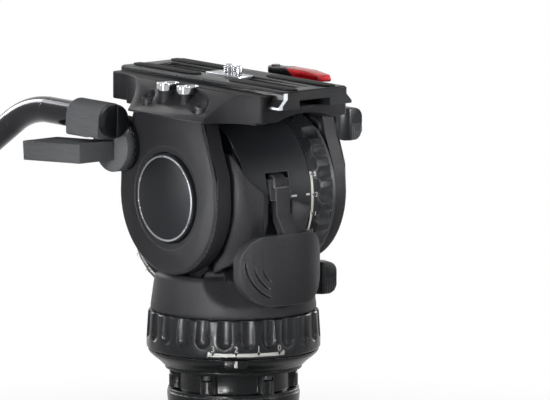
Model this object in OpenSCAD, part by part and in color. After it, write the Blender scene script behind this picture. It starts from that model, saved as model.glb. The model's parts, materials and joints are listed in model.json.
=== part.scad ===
// Fluid video head with a half-ball base, a fluid pan and tilt drag, a counterbalance dial,
// a one-hand levelling lever, a sliding camera plate and one pan bar.
// Origin: centre of the half ball at the bowl rim. +Z up, the lens looks along -Y, -X is the disc side.

/* [Clearances] */
// Gap between faces of pieces that pass each other
run_gap = 0.4; // [0.3:0.05:0.6]
// Radial clearance of a running fit
fit_gap = 0.05; // [0.02:0.01:0.1]
// Clearance of a piece that is seated in a pocket
seat_gap = 0.1; // [0.05:0.05:0.2]

/* [Bowl base] */
// Radius of the half ball, for a 75 mm bowl
ball_r = 37.5; // [34:0.5:42]
// Depth of the flat under the ball, below the bowl rim
ball_depth = 24; // [20:0.5:28]
// Radius of the neck at the bowl rim
neck_r = 36.8; // [34:0.2:38]
// Radius of the neck under the flange
neck_top_r = 39; // [38:0.2:41]
// Height of the neck
neck_h = 16; // [14:0.5:20]
// Count of pillars round the neck
pillar_count = 6; // [5:1:6]
// Radius of the round front of each pillar
pillar_r = 5; // [4.4:0.1:6]
// How far the pockets are turned from the index tab, degrees
pillar_turn = 2.5; // [-10:0.5:10]
// Depth of the pockets
pocket_depth = 5; // [3:0.5:6]
// Radius of the flange under the pan drag ring
flange_r = 48.4; // [46:0.2:52]
// Height of the flange
flange_h = 8.5; // [7:0.5:11]
// Direction of the index tab round the pan axis, degrees
index_angle = 232.8; // [200:0.2:270]
// Width of the index tab
index_w = 13; // [8:0.5:16]
// Height of the index tab
index_h = 4.8; // [4:0.1:5.4]

/* [Pan drag] */
// Outer radius of the pan drag ring
pan_ring_r = 49.1; // [47:0.1:53]
// Height of the pan drag ring
pan_ring_h = 21.9; // [18:0.1:26]
// Height of the plain band under the flutes
pan_band_h = 7.2; // [5:0.1:9]
// Wall of the pan drag ring at its bore
pan_ring_wall = 5.1; // [4.4:0.1:6]
// Count of finger flutes round each drag ring
flute_count = 24; // [16:1:28]
// Depth of the finger flutes
flute_depth = 2.4; // [1.5:0.1:3]
// Share of the pitch that a flute takes
flute_share = 0.74; // [0.5:0.02:0.85]
// Thickness of the printed scales
scale_t = 0.5; // [0.3:0.1:0.6]
// Width of the printed arc of the pan drag ring
pan_scale_w = 2; // [1.4:0.1:2.4]
// Length of that arc, degrees
pan_scale_angle = 53; // [46:1:60]
// How far that arc starts before the index tab, degrees
pan_scale_back = 18.9; // [16:0.1:22]
// Radius of the pan shaft
pan_shaft_r = 16; // [13:0.5:18]
// Radius of the tie rod
rod_r = 6; // [4:0.5:7]
// Travel of the tie rod when the bowl clamp opens
rod_travel = 1.5; // [1:0.1:2]

/* [Turret] */
// Radius of the turret skirt at its foot
skirt_r = 46.8; // [45:0.1:50]
// Radius of the turret skirt at its shoulder
skirt_top_r = 44.5; // [42:0.1:46]
// Height of the skirt
skirt_h = 22.2; // [18:0.1:24]
// Height of the tilt axis above the bowl rim
tilt_z = 114; // [112:0.5:122]
// Radius of the tilt drum
drum_r = 46.2; // [44:0.1:47]
// How far the housing stands proud of the drum at the tilt axis
cheek_t = 0.8; // [0.5:0.1:1.4]
// Left face of the housing, measured from the pan axis
housing_left = 31; // [29:0.2:32]
// Right face of the drum, measured from the pan axis
drum_right = 18.4; // [16:0.2:20]
// Wall of the housing beside the drum
housing_wall = 3.5; // [2.5:0.1:4.5]
// Corner radius of the housing
housing_corner = 10; // [6:0.5:14]
// Radius of the finger scoop behind the levelling lever
scoop_r = 33; // [28:0.5:36]

/* [Tilt drag] */
// Outer radius of the tilt drag ring
tilt_ring_r = 48.6; // [47:0.1:49.5]
// Width of the tilt drag ring along the tilt axis
tilt_ring_w = 15; // [12:0.1:15.6]
// Width of the plain band of the tilt drag ring
tilt_band_w = 4; // [3:0.1:5]
// Width of the printed arc of the tilt drag ring
tilt_scale_w = 1.4; // [1:0.1:2]
// Length of that arc, degrees
tilt_scale_angle = 45; // [40:1:52]
// Top of that arc above the tilt axis, degrees
tilt_scale_top = 17.5; // [15:0.5:20]
// Wall of the tilt drag ring at its bore
tilt_ring_wall = 5; // [4.2:0.1:6]
// Radius of the tilt axle
axle_r = 7; // [6:0.1:8]
// Outer radius of the counterbalance dial
dial_r = 38.4; // [37:0.1:39]
// Inner radius of the counterbalance dial
dial_bore = 31.3; // [31.1:0.1:31.6]
// Inner radius of the printed arc of the dial
dial_scale_r = 33.6; // [32.4:0.1:34]
// Width of the printed arc of the dial
dial_scale_w = 1.3; // [1:0.1:2]
// Length of that arc, degrees
dial_scale_angle = 200; // [120:5:300]
// How far the dial sits behind the tilt axis
dial_back = 11.5; // [10:0.1:11.6]
// How far the dial sits below the tilt axis
dial_down = 16.5; // [14:0.1:16.6]

/* [Arms] */
// Outer face of the left arm, measured from the pan axis
arm_out = 48; // [46:0.2:50]
// Thickness of the left arm
left_arm_t = 11.5; // [10:0.1:12]
// Thickness of the right arm
right_arm_t = 10; // [8.5:0.1:10.4]
// Radius of the round lower end of each arm
arm_r = 43.3; // [40:0.1:44]
// Half width of each arm at its top
arm_top_w = 31.5; // [28:0.2:34]
// Width of the bevel round each arm
arm_bevel = 1.6; // [0.8:0.1:2.4]
// Radius of the side disc
disc_r = 25.2; // [22:0.1:27]
// How far the side disc stands out of the arm
disc_proud = 1.6; // [0.8:0.1:2.4]
// Radius of the pan bar rosettes
rosette_r = 15; // [12:0.2:16]
// Thickness of each arm rosette
rosette_t = 4; // [3:0.1:5]
// How far the rosettes sit behind the tilt axis
rosette_back = 39; // [36:0.5:42]
// How far the rosettes sit above the tilt axis
rosette_up = 26.4; // [22:0.2:28]

/* [Platform] */
// Height of the platform underside above the tilt axis
apron_up = 46; // [45:0.5:49]
// Height of the plate floor above the platform underside
floor_h = 9.4; // [8.8:0.1:11]
// Height of the platform rails above the platform underside
rail_h = 16.8; // [15.4:0.1:19]
// Half width of the platform ends
rail_w = 31; // [29.6:0.2:33]
// Half width of the sloped apron at its foot
apron_w = 49.5; // [48.6:0.1:52]
// Half width of the sloped apron at its crest
crest_w = 33; // [31.8:0.2:35]
// Length of the platform in front of the tilt axis
front_len = 64; // [60:0.5:70]
// Length of the platform behind the tilt axis
rear_len = 72; // [62:0.5:78]
// Radius of the concave ends of the apron
apron_scoop_r = 25.6; // [22:0.2:28]
// Half spacing of the screws that hold the arms
arm_screw_y = 24; // [20:0.5:26]
// Radius of the head of a spare camera screw
spare_head_r = 5.5; // [4.5:0.1:6]
// Height of the heads
spare_head_h = 4.4; // [3.6:0.1:4.8]
// Spacing of the two spare camera screws
spare_pitch = 18; // [16:0.5:22]

/* [Camera plate] */
// Half length of the camera plate
plate_len = 73; // [62:0.5:80]
// Half width of the camera plate at its top
plate_w = 22.8; // [20:0.1:24]
// Half width of the dovetail at its foot
dovetail_w = 26.5; // [25:0.1:27.2]
// Thickness of the camera plate
plate_t = 10.1; // [9:0.1:12]
// Half length of the slot in the plate
slot_len = 60; // [50:0.5:64]
// Width of the slot in the plate
slot_w = 8.4; // [7.6:0.1:10]
// Thickness of the rubber strips
pad_t = 0.8; // [0.5:0.1:1.2]
// Radius of the camera screw thread, a quarter inch thread
screw_r = 3.175; // [2.5:0.025:3.6]
// Length of the camera screw above the plate
screw_up = 6; // [4:0.2:8]
// Radius of the video pin
pin_r = 2.1; // [1.5:0.1:2.5]
// Distance between the camera screw and the video pin
pin_pitch = 9; // [8.6:0.1:11]
// Travel of the camera plate each way
plate_travel = 35; // [20:1:45]

/* [Lock lever] */
// Length of the lock lever in front of its pivot
lock_len = 47; // [40:0.5:56]
// Width of the lock lever
lock_w = 9; // [8:0.2:10]
// Thickness of the lock lever
lock_t = 4.7; // [4:0.1:6]
// Length of the clamp jaw
jaw_len = 40; // [30:0.5:44]
// Travel of the clamp jaw
jaw_travel = 1; // [0.6:0.1:1.4]

/* [Levelling lever] */
// Centre of the lever, left of the pan axis
lever_x = 4.25; // [3:0.25:5]
// Width of the lever paddle
paddle_w = 57.5; // [50:0.5:60]
// Height of the paddle foot above the bowl rim
paddle_foot = 56; // [54:0.5:58]
// Height of the paddle
paddle_h = 40; // [36:0.5:42]
// Radius of the paddle's curve
paddle_curve = 44; // [42:0.2:48]
// Thickness of the paddle
paddle_t = 4.5; // [3.5:0.1:5]
// How far the paddle stands in front of the pan axis
paddle_front = 58; // [57:0.2:60]
// Width of the lever stem at its head
stem_w = 14.3; // [12:0.1:15]
// Width of the lever stem at its waist
stem_waist = 9.9; // [8:0.1:11]
// Side gap of the stem in its slot
stem_gap = 1.1; // [0.8:0.1:1.6]
// How far the lever pivot is in front of the tilt axis
pivot_front = 41; // [40:0.2:41.6]
// How far the lever pivot is above the tilt axis
pivot_up = 7.5; // [6:0.2:9]

/* [Brake wings] */
// Radius of the wing hubs
hub_r = 7; // [6:0.1:7.6]
// Length of the wing hubs
hub_l = 6; // [5:0.1:8]
// Height of the wings
wing_h = 18.4; // [15:0.2:20]
// Length of the wings
wing_l = 14.5; // [12:0.2:18]
// Thickness of the wings
wing_t = 9; // [7:0.1:11]
// How far the tilt brake is in front of the tilt axis
tilt_brake_front = 26; // [22:0.5:27]
// How far the tilt brake is above the tilt axis
tilt_brake_up = 35.5; // [33:0.5:37]
// Direction of the pan brake round the pan axis, degrees
pan_brake_angle = -14; // [-30:1:0]
// Height of the pan brake above the bowl rim
pan_brake_z = 61; // [60:0.2:61.4]

/* [Pan bar] */
// Radius of the pan bar tube
bar_r = 7.5; // [6:0.1:8]
// Radius of the clamp hub that holds the tube
bar_hub_r = 10; // [9.2:0.1:11]
// Length of the clamp hub
bar_hub_l = 29; // [24:0.5:34]
// Height of the tube above the rosette axis
bar_up = 15.3; // [14:0.1:18]
// Bend radius of the tube
bend_r = 60; // [40:1:90]
// Bend angle of the tube, degrees
bend_angle = 33; // [20:1:45]
// Straight length of the tube before the bend
bar_straight = 56; // [45:1:80]
// Straight length of the tube after the bend
bar_reach = 300; // [200:5:400]
// Length of the rubber grip
grip_len = 115; // [90:1:150]
// Radius of the rubber grip
grip_r = 13; // [11:0.5:16]
// Length of the clamp lever from the rosette axis
bar_lever_l = 48; // [40:0.5:56]
// Width of the clamp lever
bar_lever_w = 25; // [20:0.5:30]
// Thickness of the clamp lever
bar_lever_t = 11; // [9:0.1:11.4]
// Rest tilt of the clamp lever, degrees
bar_lever_tilt = 3.9; // [2:0.1:8]

/* [Hidden] */
$fn = 96;
cut = 1;                                      // overshoot of a cut past the face it opens

black = "#1c1d1f";
dark = "#2a2b2d";
grey = "#3b3c3e";
steel = "#b9bcc0";
white = "#e8e8e6";
red = "#c4161c";
rubber = "#141415";

// Pan stack, from the bowl rim upwards
flange_top = neck_h + flange_h;
pan_ring_z = flange_top + run_gap;
pan_ring_top = pan_ring_z + pan_ring_h;
pan_bore = pan_ring_r - pan_ring_wall;
cartridge_r = pan_bore - fit_gap;
cartridge_top = pan_ring_top - 0.6;
washer_t = 0.6;
skirt_z = pan_ring_top + run_gap;
skirt_top = skirt_z + skirt_h;
bush_wall = 4;
bush_r = pan_shaft_r + fit_gap + bush_wall;
bush_top = skirt_z + 10;
brake_drum_r = bush_r - 1.5;
brake_drum_h = 5.6;
shaft_neck_r = pan_shaft_r - 3;
shaft_top = bush_top + run_gap + brake_drum_h;
shaft_bore = rod_r + 1.5;
rod_head_r = rod_r + 4;
rod_head_h = 4;
rod_head_z = shaft_top + rod_travel + 2;
rod_head_top = rod_head_z + rod_head_h;
claw_z = -ball_depth - 22;
claw_r = ball_r - 4;
screw_head_r = 2.7;
screw_shank_r = 1.5;
screw_head_h = 2.4;
pillar_in = 0.3;
screw_circle = neck_r - 3.3;
screw_rim = neck_h - 3;
screw_room = 0.6;
pocket_foot = 2.4;

// Direction of the middle of a pocket round the pan axis
function pillar_angle(i) = index_angle + pillar_turn + 360 / pillar_count * i;

// Tilt stack, along the tilt axis
housing_half = drum_r + cheek_t;
drum_left = housing_left - housing_wall;
dial_y = dial_back;
dial_z = tilt_z - dial_down;
left_arm_in = -arm_out + left_arm_t;
right_arm_in = arm_out - right_arm_t;
dial_x0 = left_arm_in + 0.8;
dial_x1 = -housing_left - run_gap;
dial_plate_x = -housing_left - seat_gap;
drum_neck_r = 22;
tilt_ring_x0 = drum_right + run_gap;
tilt_ring_x1 = tilt_ring_x0 + tilt_ring_w;
tilt_bore = tilt_ring_r - tilt_ring_wall;
tilt_cartridge_r = tilt_bore - fit_gap;
disc_t = 2;
disc_x0 = tilt_ring_x1 + run_gap;
brake_disc_r = tilt_ring_r - 2;
axle_bush_r = axle_r + fit_gap + 3;
rotor_r = tilt_cartridge_r - 8;
swing_r = max(tilt_ring_r, pan_ring_r) + 2.4;

// Platform heights
apron_z = tilt_z + apron_up;
floor_z = apron_z + floor_h;
rail_z = apron_z + rail_h;
end_z = apron_z + 1.6;
plate_z = floor_z + 0.2;
plate_top = plate_z + plate_t;
dovetail_gap = 0.4;
dovetail_foot = 1.6;
dovetail_rise = 4;
screw_y = 4;

// Lever pivot, cam and rocker, in the plane across the tilt axis
pivot_y = -pivot_front;
pivot_z = tilt_z + pivot_up;
lever_pin_r = 2.5;
lever_pocket_r = 8.6;
cam_r = 5.2;
cam_throw = 2.6;
cam_angle = 125;
rocker_y = -14;
rocker_z = tilt_z - 22;
rocker_w = 8;
slot_left = -lever_x - stem_w / 2 - stem_gap;
slot_right = -lever_x + stem_w / 2 + stem_gap;
cam_reach = cam_r + cam_throw * cos(cam_angle);

// Rosettes and pan bar
rosette_y = rosette_back;
rosette_z = tilt_z + rosette_up;
clamp_x = -arm_out - rosette_t - run_gap;
clamp_t = 5;
ear_t = 4.5;
bar_x = clamp_x - bar_hub_r + 0.2;
bar_z = rosette_z + bar_up;
hub_y0 = rosette_y - 7;
bar_lever_x = clamp_x - clamp_t - run_gap;
bend_lap = 1;
bar_screw_r = 3;
lever_room = 0.6;

// Brake places
tilt_brake_y = -tilt_brake_front;
tilt_brake_z = tilt_z + tilt_brake_up;
tilt_shoe_r = 6;
tilt_shoe_t = 2;
brake_screw_r = 2.5;
pan_brake_x = skirt_top_r - 2.6;
pan_shoe_x = bush_r + 8;

// Extrudes a drawing in the plane across the tilt axis, from x0 to x1
module along_x(x0, x1) {
    translate([x0, 0, 0]) rotate([90, 0, 90]) linear_extrude(x1 - x0) children();
}

// Extrudes a drawing in the plane across the lens direction, from y0 to y1
module along_y(y0, y1) {
    translate([0, y1, 0]) rotate([90, 0, 0]) linear_extrude(y1 - y0) children();
}

module cyl_x(r, x0, x1, y = 0, z = tilt_z) {
    translate([x0, y, z]) rotate([0, 90, 0]) cylinder(r = r, h = x1 - x0);
}

module cyl_y(r, y0, y1, x, z) {
    translate([x, y0, z]) rotate([-90, 0, 0]) cylinder(r = r, h = y1 - y0);
}

module tube_x(r, bore, x0, x1, y = 0, z = tilt_z) {
    difference() {
        cyl_x(r, x0, x1, y, z);
        cyl_x(bore, x0 - cut, x1 + cut, y, z);
    }
}

module tube_z(r, bore, z0, z1) {
    translate([0, 0, z0]) difference() {
        cylinder(r = r, h = z1 - z0);
        translate([0, 0, -cut]) cylinder(r = bore, h = z1 - z0 + 2 * cut);
    }
}

// A rectangle with round corners, from its lower left corner
module round_rect(w, h, r) {
    translate([r, 0]) square([w - 2 * r, h]);
    translate([0, r]) square([w, h - 2 * r]);
    for (x = [r, w - r], y = [r, h - r]) translate([x, y]) circle(r);
}

// The round-bottomed groove that a finger takes, standing on z = 0 and cut into radius r
module flute(r, h) {
    w = 2 * PI * r / flute_count * flute_share;
    fr = (w * w / 4 + flute_depth * flute_depth) / (2 * flute_depth);
    translate([r - flute_depth + fr, 0, fr * 0.55]) {
        cylinder(r = fr, h = h + cut, $fn = 48);
        sphere(r = fr, $fn = 48);
    }
}

// Bowl base and pan stack

// Radius of the neck's cone at a height
function neck_at(z) = neck_r + (neck_top_r - neck_r) * z / neck_h;

module bowl_base() color(black) difference() {
    union() {
        rotate_extrude() difference() {
            union() {
                intersection() {
                    circle(ball_r);
                    translate([0, -ball_depth]) square([ball_r + cut, ball_depth + 0.5]);
                }
                polygon([
                    [0, 0], [neck_r, 0], [neck_at(pocket_foot), pocket_foot],
                    [neck_r - pocket_depth, pocket_foot], [neck_r - pocket_depth, neck_h - pocket_foot],
                    [neck_at(neck_h - pocket_foot), neck_h - pocket_foot], [neck_top_r, neck_h], [0, neck_h]]);
            }
            translate([-cut, -ball_depth - cut]) square([rod_r + 1.5 + cut, ball_depth + neck_h + 2 * cut]);
            translate([-cut, neck_h - 3]) square([pan_shaft_r + 10 + seat_gap + cut, 3 + cut]);
        }
        for (i = [0 : pillar_count - 1]) rotate([0, 0, pillar_angle(i + 0.5)])
            translate([neck_r - pillar_r - pillar_in, 0, pocket_foot - pillar_in])
                cylinder(r = pillar_r, h = neck_h - 2 * pocket_foot + 2 * pillar_in, $fn = 48);
    }
    for (i = [0 : pillar_count - 1])
        rotate([0, 0, pillar_angle(i + 0.5)]) translate([screw_circle, 0, 0]) {
            translate([0, 0, screw_rim - screw_head_h - screw_room])
                cylinder(r = screw_head_r + screw_room, h = screw_head_h + screw_room, $fn = 32);
            translate([0, -screw_head_r - screw_room, screw_rim - screw_head_h - screw_room])
                cube([8, 2 * (screw_head_r + screw_room), screw_head_h + screw_room]);
            translate([0, 0, screw_rim - 1]) cylinder(r = screw_shank_r + seat_gap, h = 4 + cut, $fn = 32);
        }
}

module base_flange() color(black) difference() {
    union() {
        rotate_extrude() polygon([
            [pan_shaft_r + seat_gap, neck_h], [neck_top_r + 0.8, neck_h],
            [neck_top_r + 3.1, neck_h + flange_h * 0.27], [flange_r - 3.3, neck_h + flange_h * 0.54],
            [flange_r - 0.9, neck_h + flange_h * 0.8], [flange_r, flange_top],
            [pan_shaft_r + seat_gap, flange_top]]);
        rotate([0, 0, index_angle]) along_x(flange_r - 6, flange_r + 0.4)
            translate([-index_w / 2, flange_top - index_h]) {
                round_rect(index_w, index_h, 1.6);
                translate([0, 2]) square([index_w, index_h - 2]);
            }
    }
    for (i = [0 : pillar_count - 1])
        rotate([0, 0, pillar_angle(i + 0.5)]) translate([screw_circle, 0, neck_h - cut])
            cylinder(r = screw_shank_r + seat_gap, h = 6 + cut, $fn = 32);
}

module flange_screws() color(steel) for (i = [0 : pillar_count - 1])
    rotate([0, 0, pillar_angle(i + 0.5)])
        translate([screw_circle, 0, screw_rim - screw_head_h]) {
            difference() {
                cylinder(r = screw_head_r, h = screw_head_h, $fn = 32);
                translate([0, 0, -cut]) cylinder(r = 1.4, h = 1.6 + cut, $fn = 6);
            }
            cylinder(r = screw_shank_r, h = screw_head_h + 9, $fn = 32);
        }

module pan_shaft() color(steel) difference() {
    rotate_extrude() polygon([
        [0, neck_h - 3], [pan_shaft_r + 10, neck_h - 3], [pan_shaft_r + 10, neck_h],
        [pan_shaft_r, neck_h], [pan_shaft_r, bush_top + run_gap], [shaft_neck_r, bush_top + run_gap],
        [shaft_neck_r, shaft_top], [0, shaft_top]]);
    translate([0, 0, neck_h - 3 - cut]) cylinder(r = shaft_bore, h = shaft_top);
}

module pan_drag_cartridge() color(grey) rotate_extrude() difference() {
    translate([pan_shaft_r + seat_gap, flange_top])
        square([cartridge_r - pan_shaft_r - seat_gap, cartridge_top - flange_top]);
    translate([pan_shaft_r + 2, flange_top + 5])
        square([cartridge_r - pan_shaft_r - 6, cartridge_top - flange_top - 9]);
    translate([pan_shaft_r - cut, flange_top + 8])
        square([7 + cut, cartridge_top - flange_top]);
}

module pan_thrust_washer() color(steel)
    tube_z(cartridge_r - 2, pan_shaft_r + 8, cartridge_top, cartridge_top + washer_t);

module pan_drag_rotor() color(steel) rotate_extrude() {
    translate([pan_shaft_r + 3, flange_top + 9]) square([cartridge_r - pan_shaft_r - 8, 3]);
    translate([pan_shaft_r + 3, flange_top + 9]) square([3, skirt_z - flange_top - 9]);
}

module pan_brake_drum() color(steel)
    tube_z(brake_drum_r, shaft_neck_r + 0.02, bush_top + run_gap, shaft_top);

module pan_drag_ring() color(black) difference() {
    rotate_extrude() polygon([
        [pan_bore, pan_ring_z], [pan_ring_r - 0.9, pan_ring_z], [pan_ring_r, pan_ring_z + 1.2],
        [pan_ring_r, pan_ring_z + pan_band_h], [pan_ring_r - 0.9, pan_ring_top - 0.8],
        [pan_ring_r - 1.7, pan_ring_top], [pan_bore, pan_ring_top]]);
    for (i = [0 : flute_count - 1]) rotate([0, 0, 360 / flute_count * (i + 0.5) + index_angle])
        translate([0, 0, pan_ring_z + pan_band_h]) flute(pan_ring_r, pan_ring_h);
    pan_scale(scale_t + cut);
}

// The printed arc of the pan drag ring, of a thickness outwards from its seat
module pan_scale(t) rotate([0, 0, index_angle - pan_scale_back]) rotate_extrude(angle = pan_scale_angle)
    translate([pan_ring_r - scale_t, pan_ring_z + 1.5]) square([t, pan_scale_w]);

module pan_scale_band() color(white) pan_scale(scale_t - 0.1);

module tie_rod() color(steel) {
    translate([0, 0, claw_z - 8]) cylinder(r = rod_r, h = rod_head_z - claw_z + 8 + rod_head_h);
    translate([0, 0, rod_head_z]) cylinder(r = rod_head_r, h = rod_head_h);
}

module rod_spring() color(steel)
    tube_z(shaft_neck_r - 0.5, rod_r + 1, shaft_top, shaft_top + 1.4);

module bowl_claw() color(black) rotate_extrude() polygon([
    [rod_r + fit_gap, claw_z], [13, claw_z], [claw_r, claw_z + 9], [claw_r, claw_z + 13],
    [claw_r - 6, claw_z + 13], [13, claw_z + 7], [rod_r + fit_gap, claw_z + 7]]);

module claw_pads() color(rubber) for (i = [0 : 2])
    rotate([0, 0, 120 * i + 90]) rotate_extrude(angle = 40)
        translate([claw_r - 5, claw_z + 13]) square([4, 2]);

module claw_nut() color(steel) translate([0, 0, claw_z - 6]) difference() {
    cylinder(r = 10.5, h = 6, $fn = 6);
    translate([0, 0, -cut]) cylinder(r = rod_r + 0.02, h = 8);
}

// Turret

// The curved edge where the housing ends and the drum shows, as a drawing of what is cut away
module smile() {
    arc_r = housing_left - 0.6;
    arc_z = tilt_z + arc_r + 2;
    translate([-1, arc_z]) circle(arc_r);
    translate([-1 - arc_r, arc_z]) square([2 * arc_r, 40]);
    polygon([
        [-1, tilt_z + 2], [drum_right + 2, tilt_z - 5.4], [drum_right + 2, arc_z + 40], [-1, arc_z + 40]]);
}

// The space that the housing stays in: it draws in from the tilt axis to a waist above the skirt
module waist_limit() {
    waist_r = skirt_top_r - 0.2;
    waist_z = skirt_top + 8;
    flare = housing_half + 7 - waist_r;
    rise = tilt_z - waist_z;
    flare_r = (rise * rise + flare * flare) / (2 * flare);
    rotate_extrude() difference() {
        translate([0, skirt_z]) square([housing_half + 7, 2 * tilt_z]);
        translate([waist_r, skirt_z - cut]) square([20, waist_z - skirt_z + cut]);
        intersection() {
            translate([waist_r + flare_r, waist_z]) circle(flare_r);
            translate([0, waist_z - cut]) square([2 * flare_r, rise + cut]);
        }
    }
}

module release_cavity() {
    along_x(-lever_x - rocker_w / 2 - 1, -lever_x + rocker_w / 2 + 1) polygon([
        [pivot_y, pivot_z - 9], [rocker_y - 8, rocker_z - 4], [rocker_y - 4, rod_head_z - rod_travel - 1],
        [8, rod_head_z - rod_travel - 1], [8, rod_head_top + 10], [rocker_y + 9, rocker_z + 8],
        [pivot_y + 19, pivot_z + 9], [pivot_y, pivot_z + 9]]);
    translate([0, 0, shaft_top - cut]) cylinder(r = rod_head_r + 1.5, h = rod_head_top - shaft_top + 2);
}

module lever_slot() {
    along_x(slot_left, slot_right) polygon([
        [-60, pivot_z - 40], [pivot_y + 5.4, pivot_z - 40], [pivot_y + 5.4, pivot_z],
        [pivot_y, pivot_z + 7], [-60, pivot_z + 7]]);
    cyl_x(lever_pocket_r, slot_left, slot_right, pivot_y, pivot_z);
}

module turret_body() color(dark) difference() {
    union() {
        rotate_extrude() polygon([
            [0, skirt_z], [skirt_r - 0.6, skirt_z], [skirt_r, skirt_z + 0.8], [skirt_r, skirt_z + 2.4],
            [skirt_top_r, skirt_top - 3.2], [skirt_top_r - 0.5, skirt_top - 1.6],
            [skirt_top_r - 2.4, skirt_top], [0, skirt_top]]);
        intersection() {
            translate([-housing_left, -housing_half, skirt_z + 12])
                linear_extrude(tilt_z) difference() {
                    round_rect(housing_left + drum_right + 20, 2 * housing_half, housing_corner);
                    translate([housing_left + drum_right, -cut]) square([40, 2 * housing_half + 2 * cut]);
                }
            along_x(-housing_left - cut, drum_right + cut) {
                translate([0, tilt_z]) circle(housing_half);
                translate([-housing_half, skirt_z]) square([2 * housing_half, tilt_z - skirt_z]);
            }
            waist_limit();
        }
    }
    cyl_x(drum_r + seat_gap, -drum_left, drum_right + cut);
    cyl_x(drum_neck_r + seat_gap, -housing_left - cut, -drum_left + cut);
    along_y(-housing_half - cut, housing_half + cut) smile();
    cyl_x(tilt_ring_r + 0.9, drum_right, right_arm_in - 0.6);
    cyl_x(dial_r + 0.8, dial_x0 - run_gap, -housing_left, dial_y, dial_z);
    translate([0, 0, skirt_z - cut]) cylinder(r = bush_r, h = bush_top - skirt_z + cut);
    translate([0, 0, bush_top - 0.01]) cylinder(r = bush_r - 0.5, h = skirt_top - bush_top);
    translate([-lever_x, -housing_half - scoop_r * 0.74, tilt_z - 40]) sphere(r = scoop_r);
    lever_slot();
    release_cavity();
    bubble_pocket();
    rotate([0, 0, pan_brake_angle]) {
        cyl_x(brake_screw_r + fit_gap, bush_r - 2, skirt_r + cut, 0, pan_brake_z);
        cyl_x(hub_r + 0.6, skirt_top_r - 3, skirt_r + 4, 0, pan_brake_z);
    }
}

bubble_r = 8;
bubble_y = 36;
bubble_z = skirt_top - 5;

module bubble_pocket() translate([0, 0, bubble_z]) {
    translate([0, bubble_y, 0]) cylinder(r = bubble_r + 2 + seat_gap, h = 26);
    translate([-bubble_r - 2 - seat_gap, bubble_y, 0]) cube([2 * (bubble_r + 2 + seat_gap), 30, 26]);
}

module bubble_level() color("#b9d23c") translate([0, bubble_y, bubble_z]) {
    cylinder(r = bubble_r - 0.6, h = 4);
    translate([0, 0, 4]) cylinder(r1 = bubble_r - 0.6, r2 = bubble_r - 2.4, h = 0.8);
}

module bubble_bezel() color(black) translate([0, bubble_y, 0])
    tube_z(bubble_r + 2, bubble_r - 0.6 + 0.02, bubble_z, bubble_z + 4.6);

module tilt_drum() color(black) difference() {
    union() {
        cyl_x(drum_r, -drum_left, drum_right);
        cyl_x(dial_bore - fit_gap, dial_x0, dial_plate_x, dial_y, dial_z);
        cyl_x(drum_neck_r, dial_plate_x, -drum_left);
    }
    cyl_x(axle_r + 1, dial_x0 - cut, drum_right + cut);
    cyl_x(axle_bush_r, dial_x0 - cut, dial_x0 + 10);
    cyl_x(axle_bush_r, drum_right - 10, drum_right + cut);
    cyl_x(spring_r + spring_t + 0.8, -drum_left + 2.5, slot_left - 1.5);
    lever_slot();
    release_cavity();
    bubble_pocket();
    cyl_x(lever_pin_r, slot_left - 5, slot_right + 5, pivot_y, pivot_z);
    cyl_x(lever_pin_r, -lever_x - 9, -lever_x + 9, rocker_y, rocker_z);
}

module release_pins() color(steel) {
    cyl_x(lever_pin_r - 0.02, slot_left - 5, slot_right + 5, pivot_y, pivot_z);
    cyl_x(lever_pin_r - 0.02, -lever_x - 9, -lever_x + 9, rocker_y, rocker_z);
}

module pan_bush() color("#8a6d3b") tube_z(bush_r, pan_shaft_r + fit_gap, skirt_z + 0.2, bush_top);

module tilt_bushes() color("#8a6d3b") {
    tube_x(axle_bush_r, axle_r + fit_gap, dial_x0, dial_x0 + 10);
    tube_x(axle_bush_r, axle_r + fit_gap, drum_right - 10, drum_right);
}

spring_r = 33;
spring_turns = 4;
spring_steps = 20;
spring_t = 1.2;
spring_hub = axle_r + 5;

// A point of the flat spiral spring, at a turn and a side offset
function spiral(turn, off) = let (r = spring_hub + (spring_r - spring_hub) * turn / spring_turns + off)
    [r * cos(360 * turn), tilt_z + r * sin(360 * turn)];

module counterbalance_spring() color(steel) along_x(-drum_left + 4, slot_left - 3) polygon(concat(
    [for (i = [0 : spring_turns * spring_steps]) spiral(i / spring_steps, 0)],
    [for (i = [spring_turns * spring_steps : -1 : 0]) spiral(i / spring_steps, spring_t)]));

module tilt_drag_cartridge() color(grey) difference() {
    cyl_x(tilt_cartridge_r, drum_right, disc_x0);
    cyl_x(axle_r + 1, drum_right - cut, disc_x0 + cut);
    cyl_x(rotor_r + 1.5, drum_right + 4, disc_x0 - 4);
}

module tilt_drag_rotor() color(steel)
    tube_x(rotor_r, axle_r, drum_right + 5.5, disc_x0 - 5.5);

module brake_disc() color(steel) tube_x(brake_disc_r, axle_r + 1, disc_x0, disc_x0 + disc_t);

module tilt_drag_ring() color(black) difference() {
    translate([tilt_ring_x0, 0, tilt_z]) rotate([0, 90, 0]) difference() {
        rotate_extrude() polygon([
            [tilt_bore, 0], [tilt_ring_r - 1.8, 0], [tilt_ring_r - 0.6, tilt_band_w],
            [tilt_ring_r, tilt_band_w + 1], [tilt_ring_r, tilt_ring_w - 0.8],
            [tilt_ring_r - 0.8, tilt_ring_w], [tilt_bore, tilt_ring_w]]);
        for (i = [0 : flute_count - 1]) rotate([0, 0, 360 / flute_count * i])
            translate([0, 0, tilt_band_w + 0.4]) flute(tilt_ring_r + 0.4, tilt_ring_w);
    }
    tilt_scale(4, -cut);
}

// The printed arc of the tilt drag ring, of a thickness outwards from its seat, from its inner edge
module tilt_scale(t, x0) translate([tilt_ring_x0, 0, tilt_z]) rotate([0, 90, 0])
    rotate([0, 0, 270 - tilt_scale_top]) rotate_extrude(angle = tilt_scale_angle)
        translate([tilt_ring_r - 1.7 - scale_t, x0]) square([t, tilt_scale_w - x0]);

module tilt_scale_band() color(white) tilt_scale(scale_t, 0);

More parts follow.
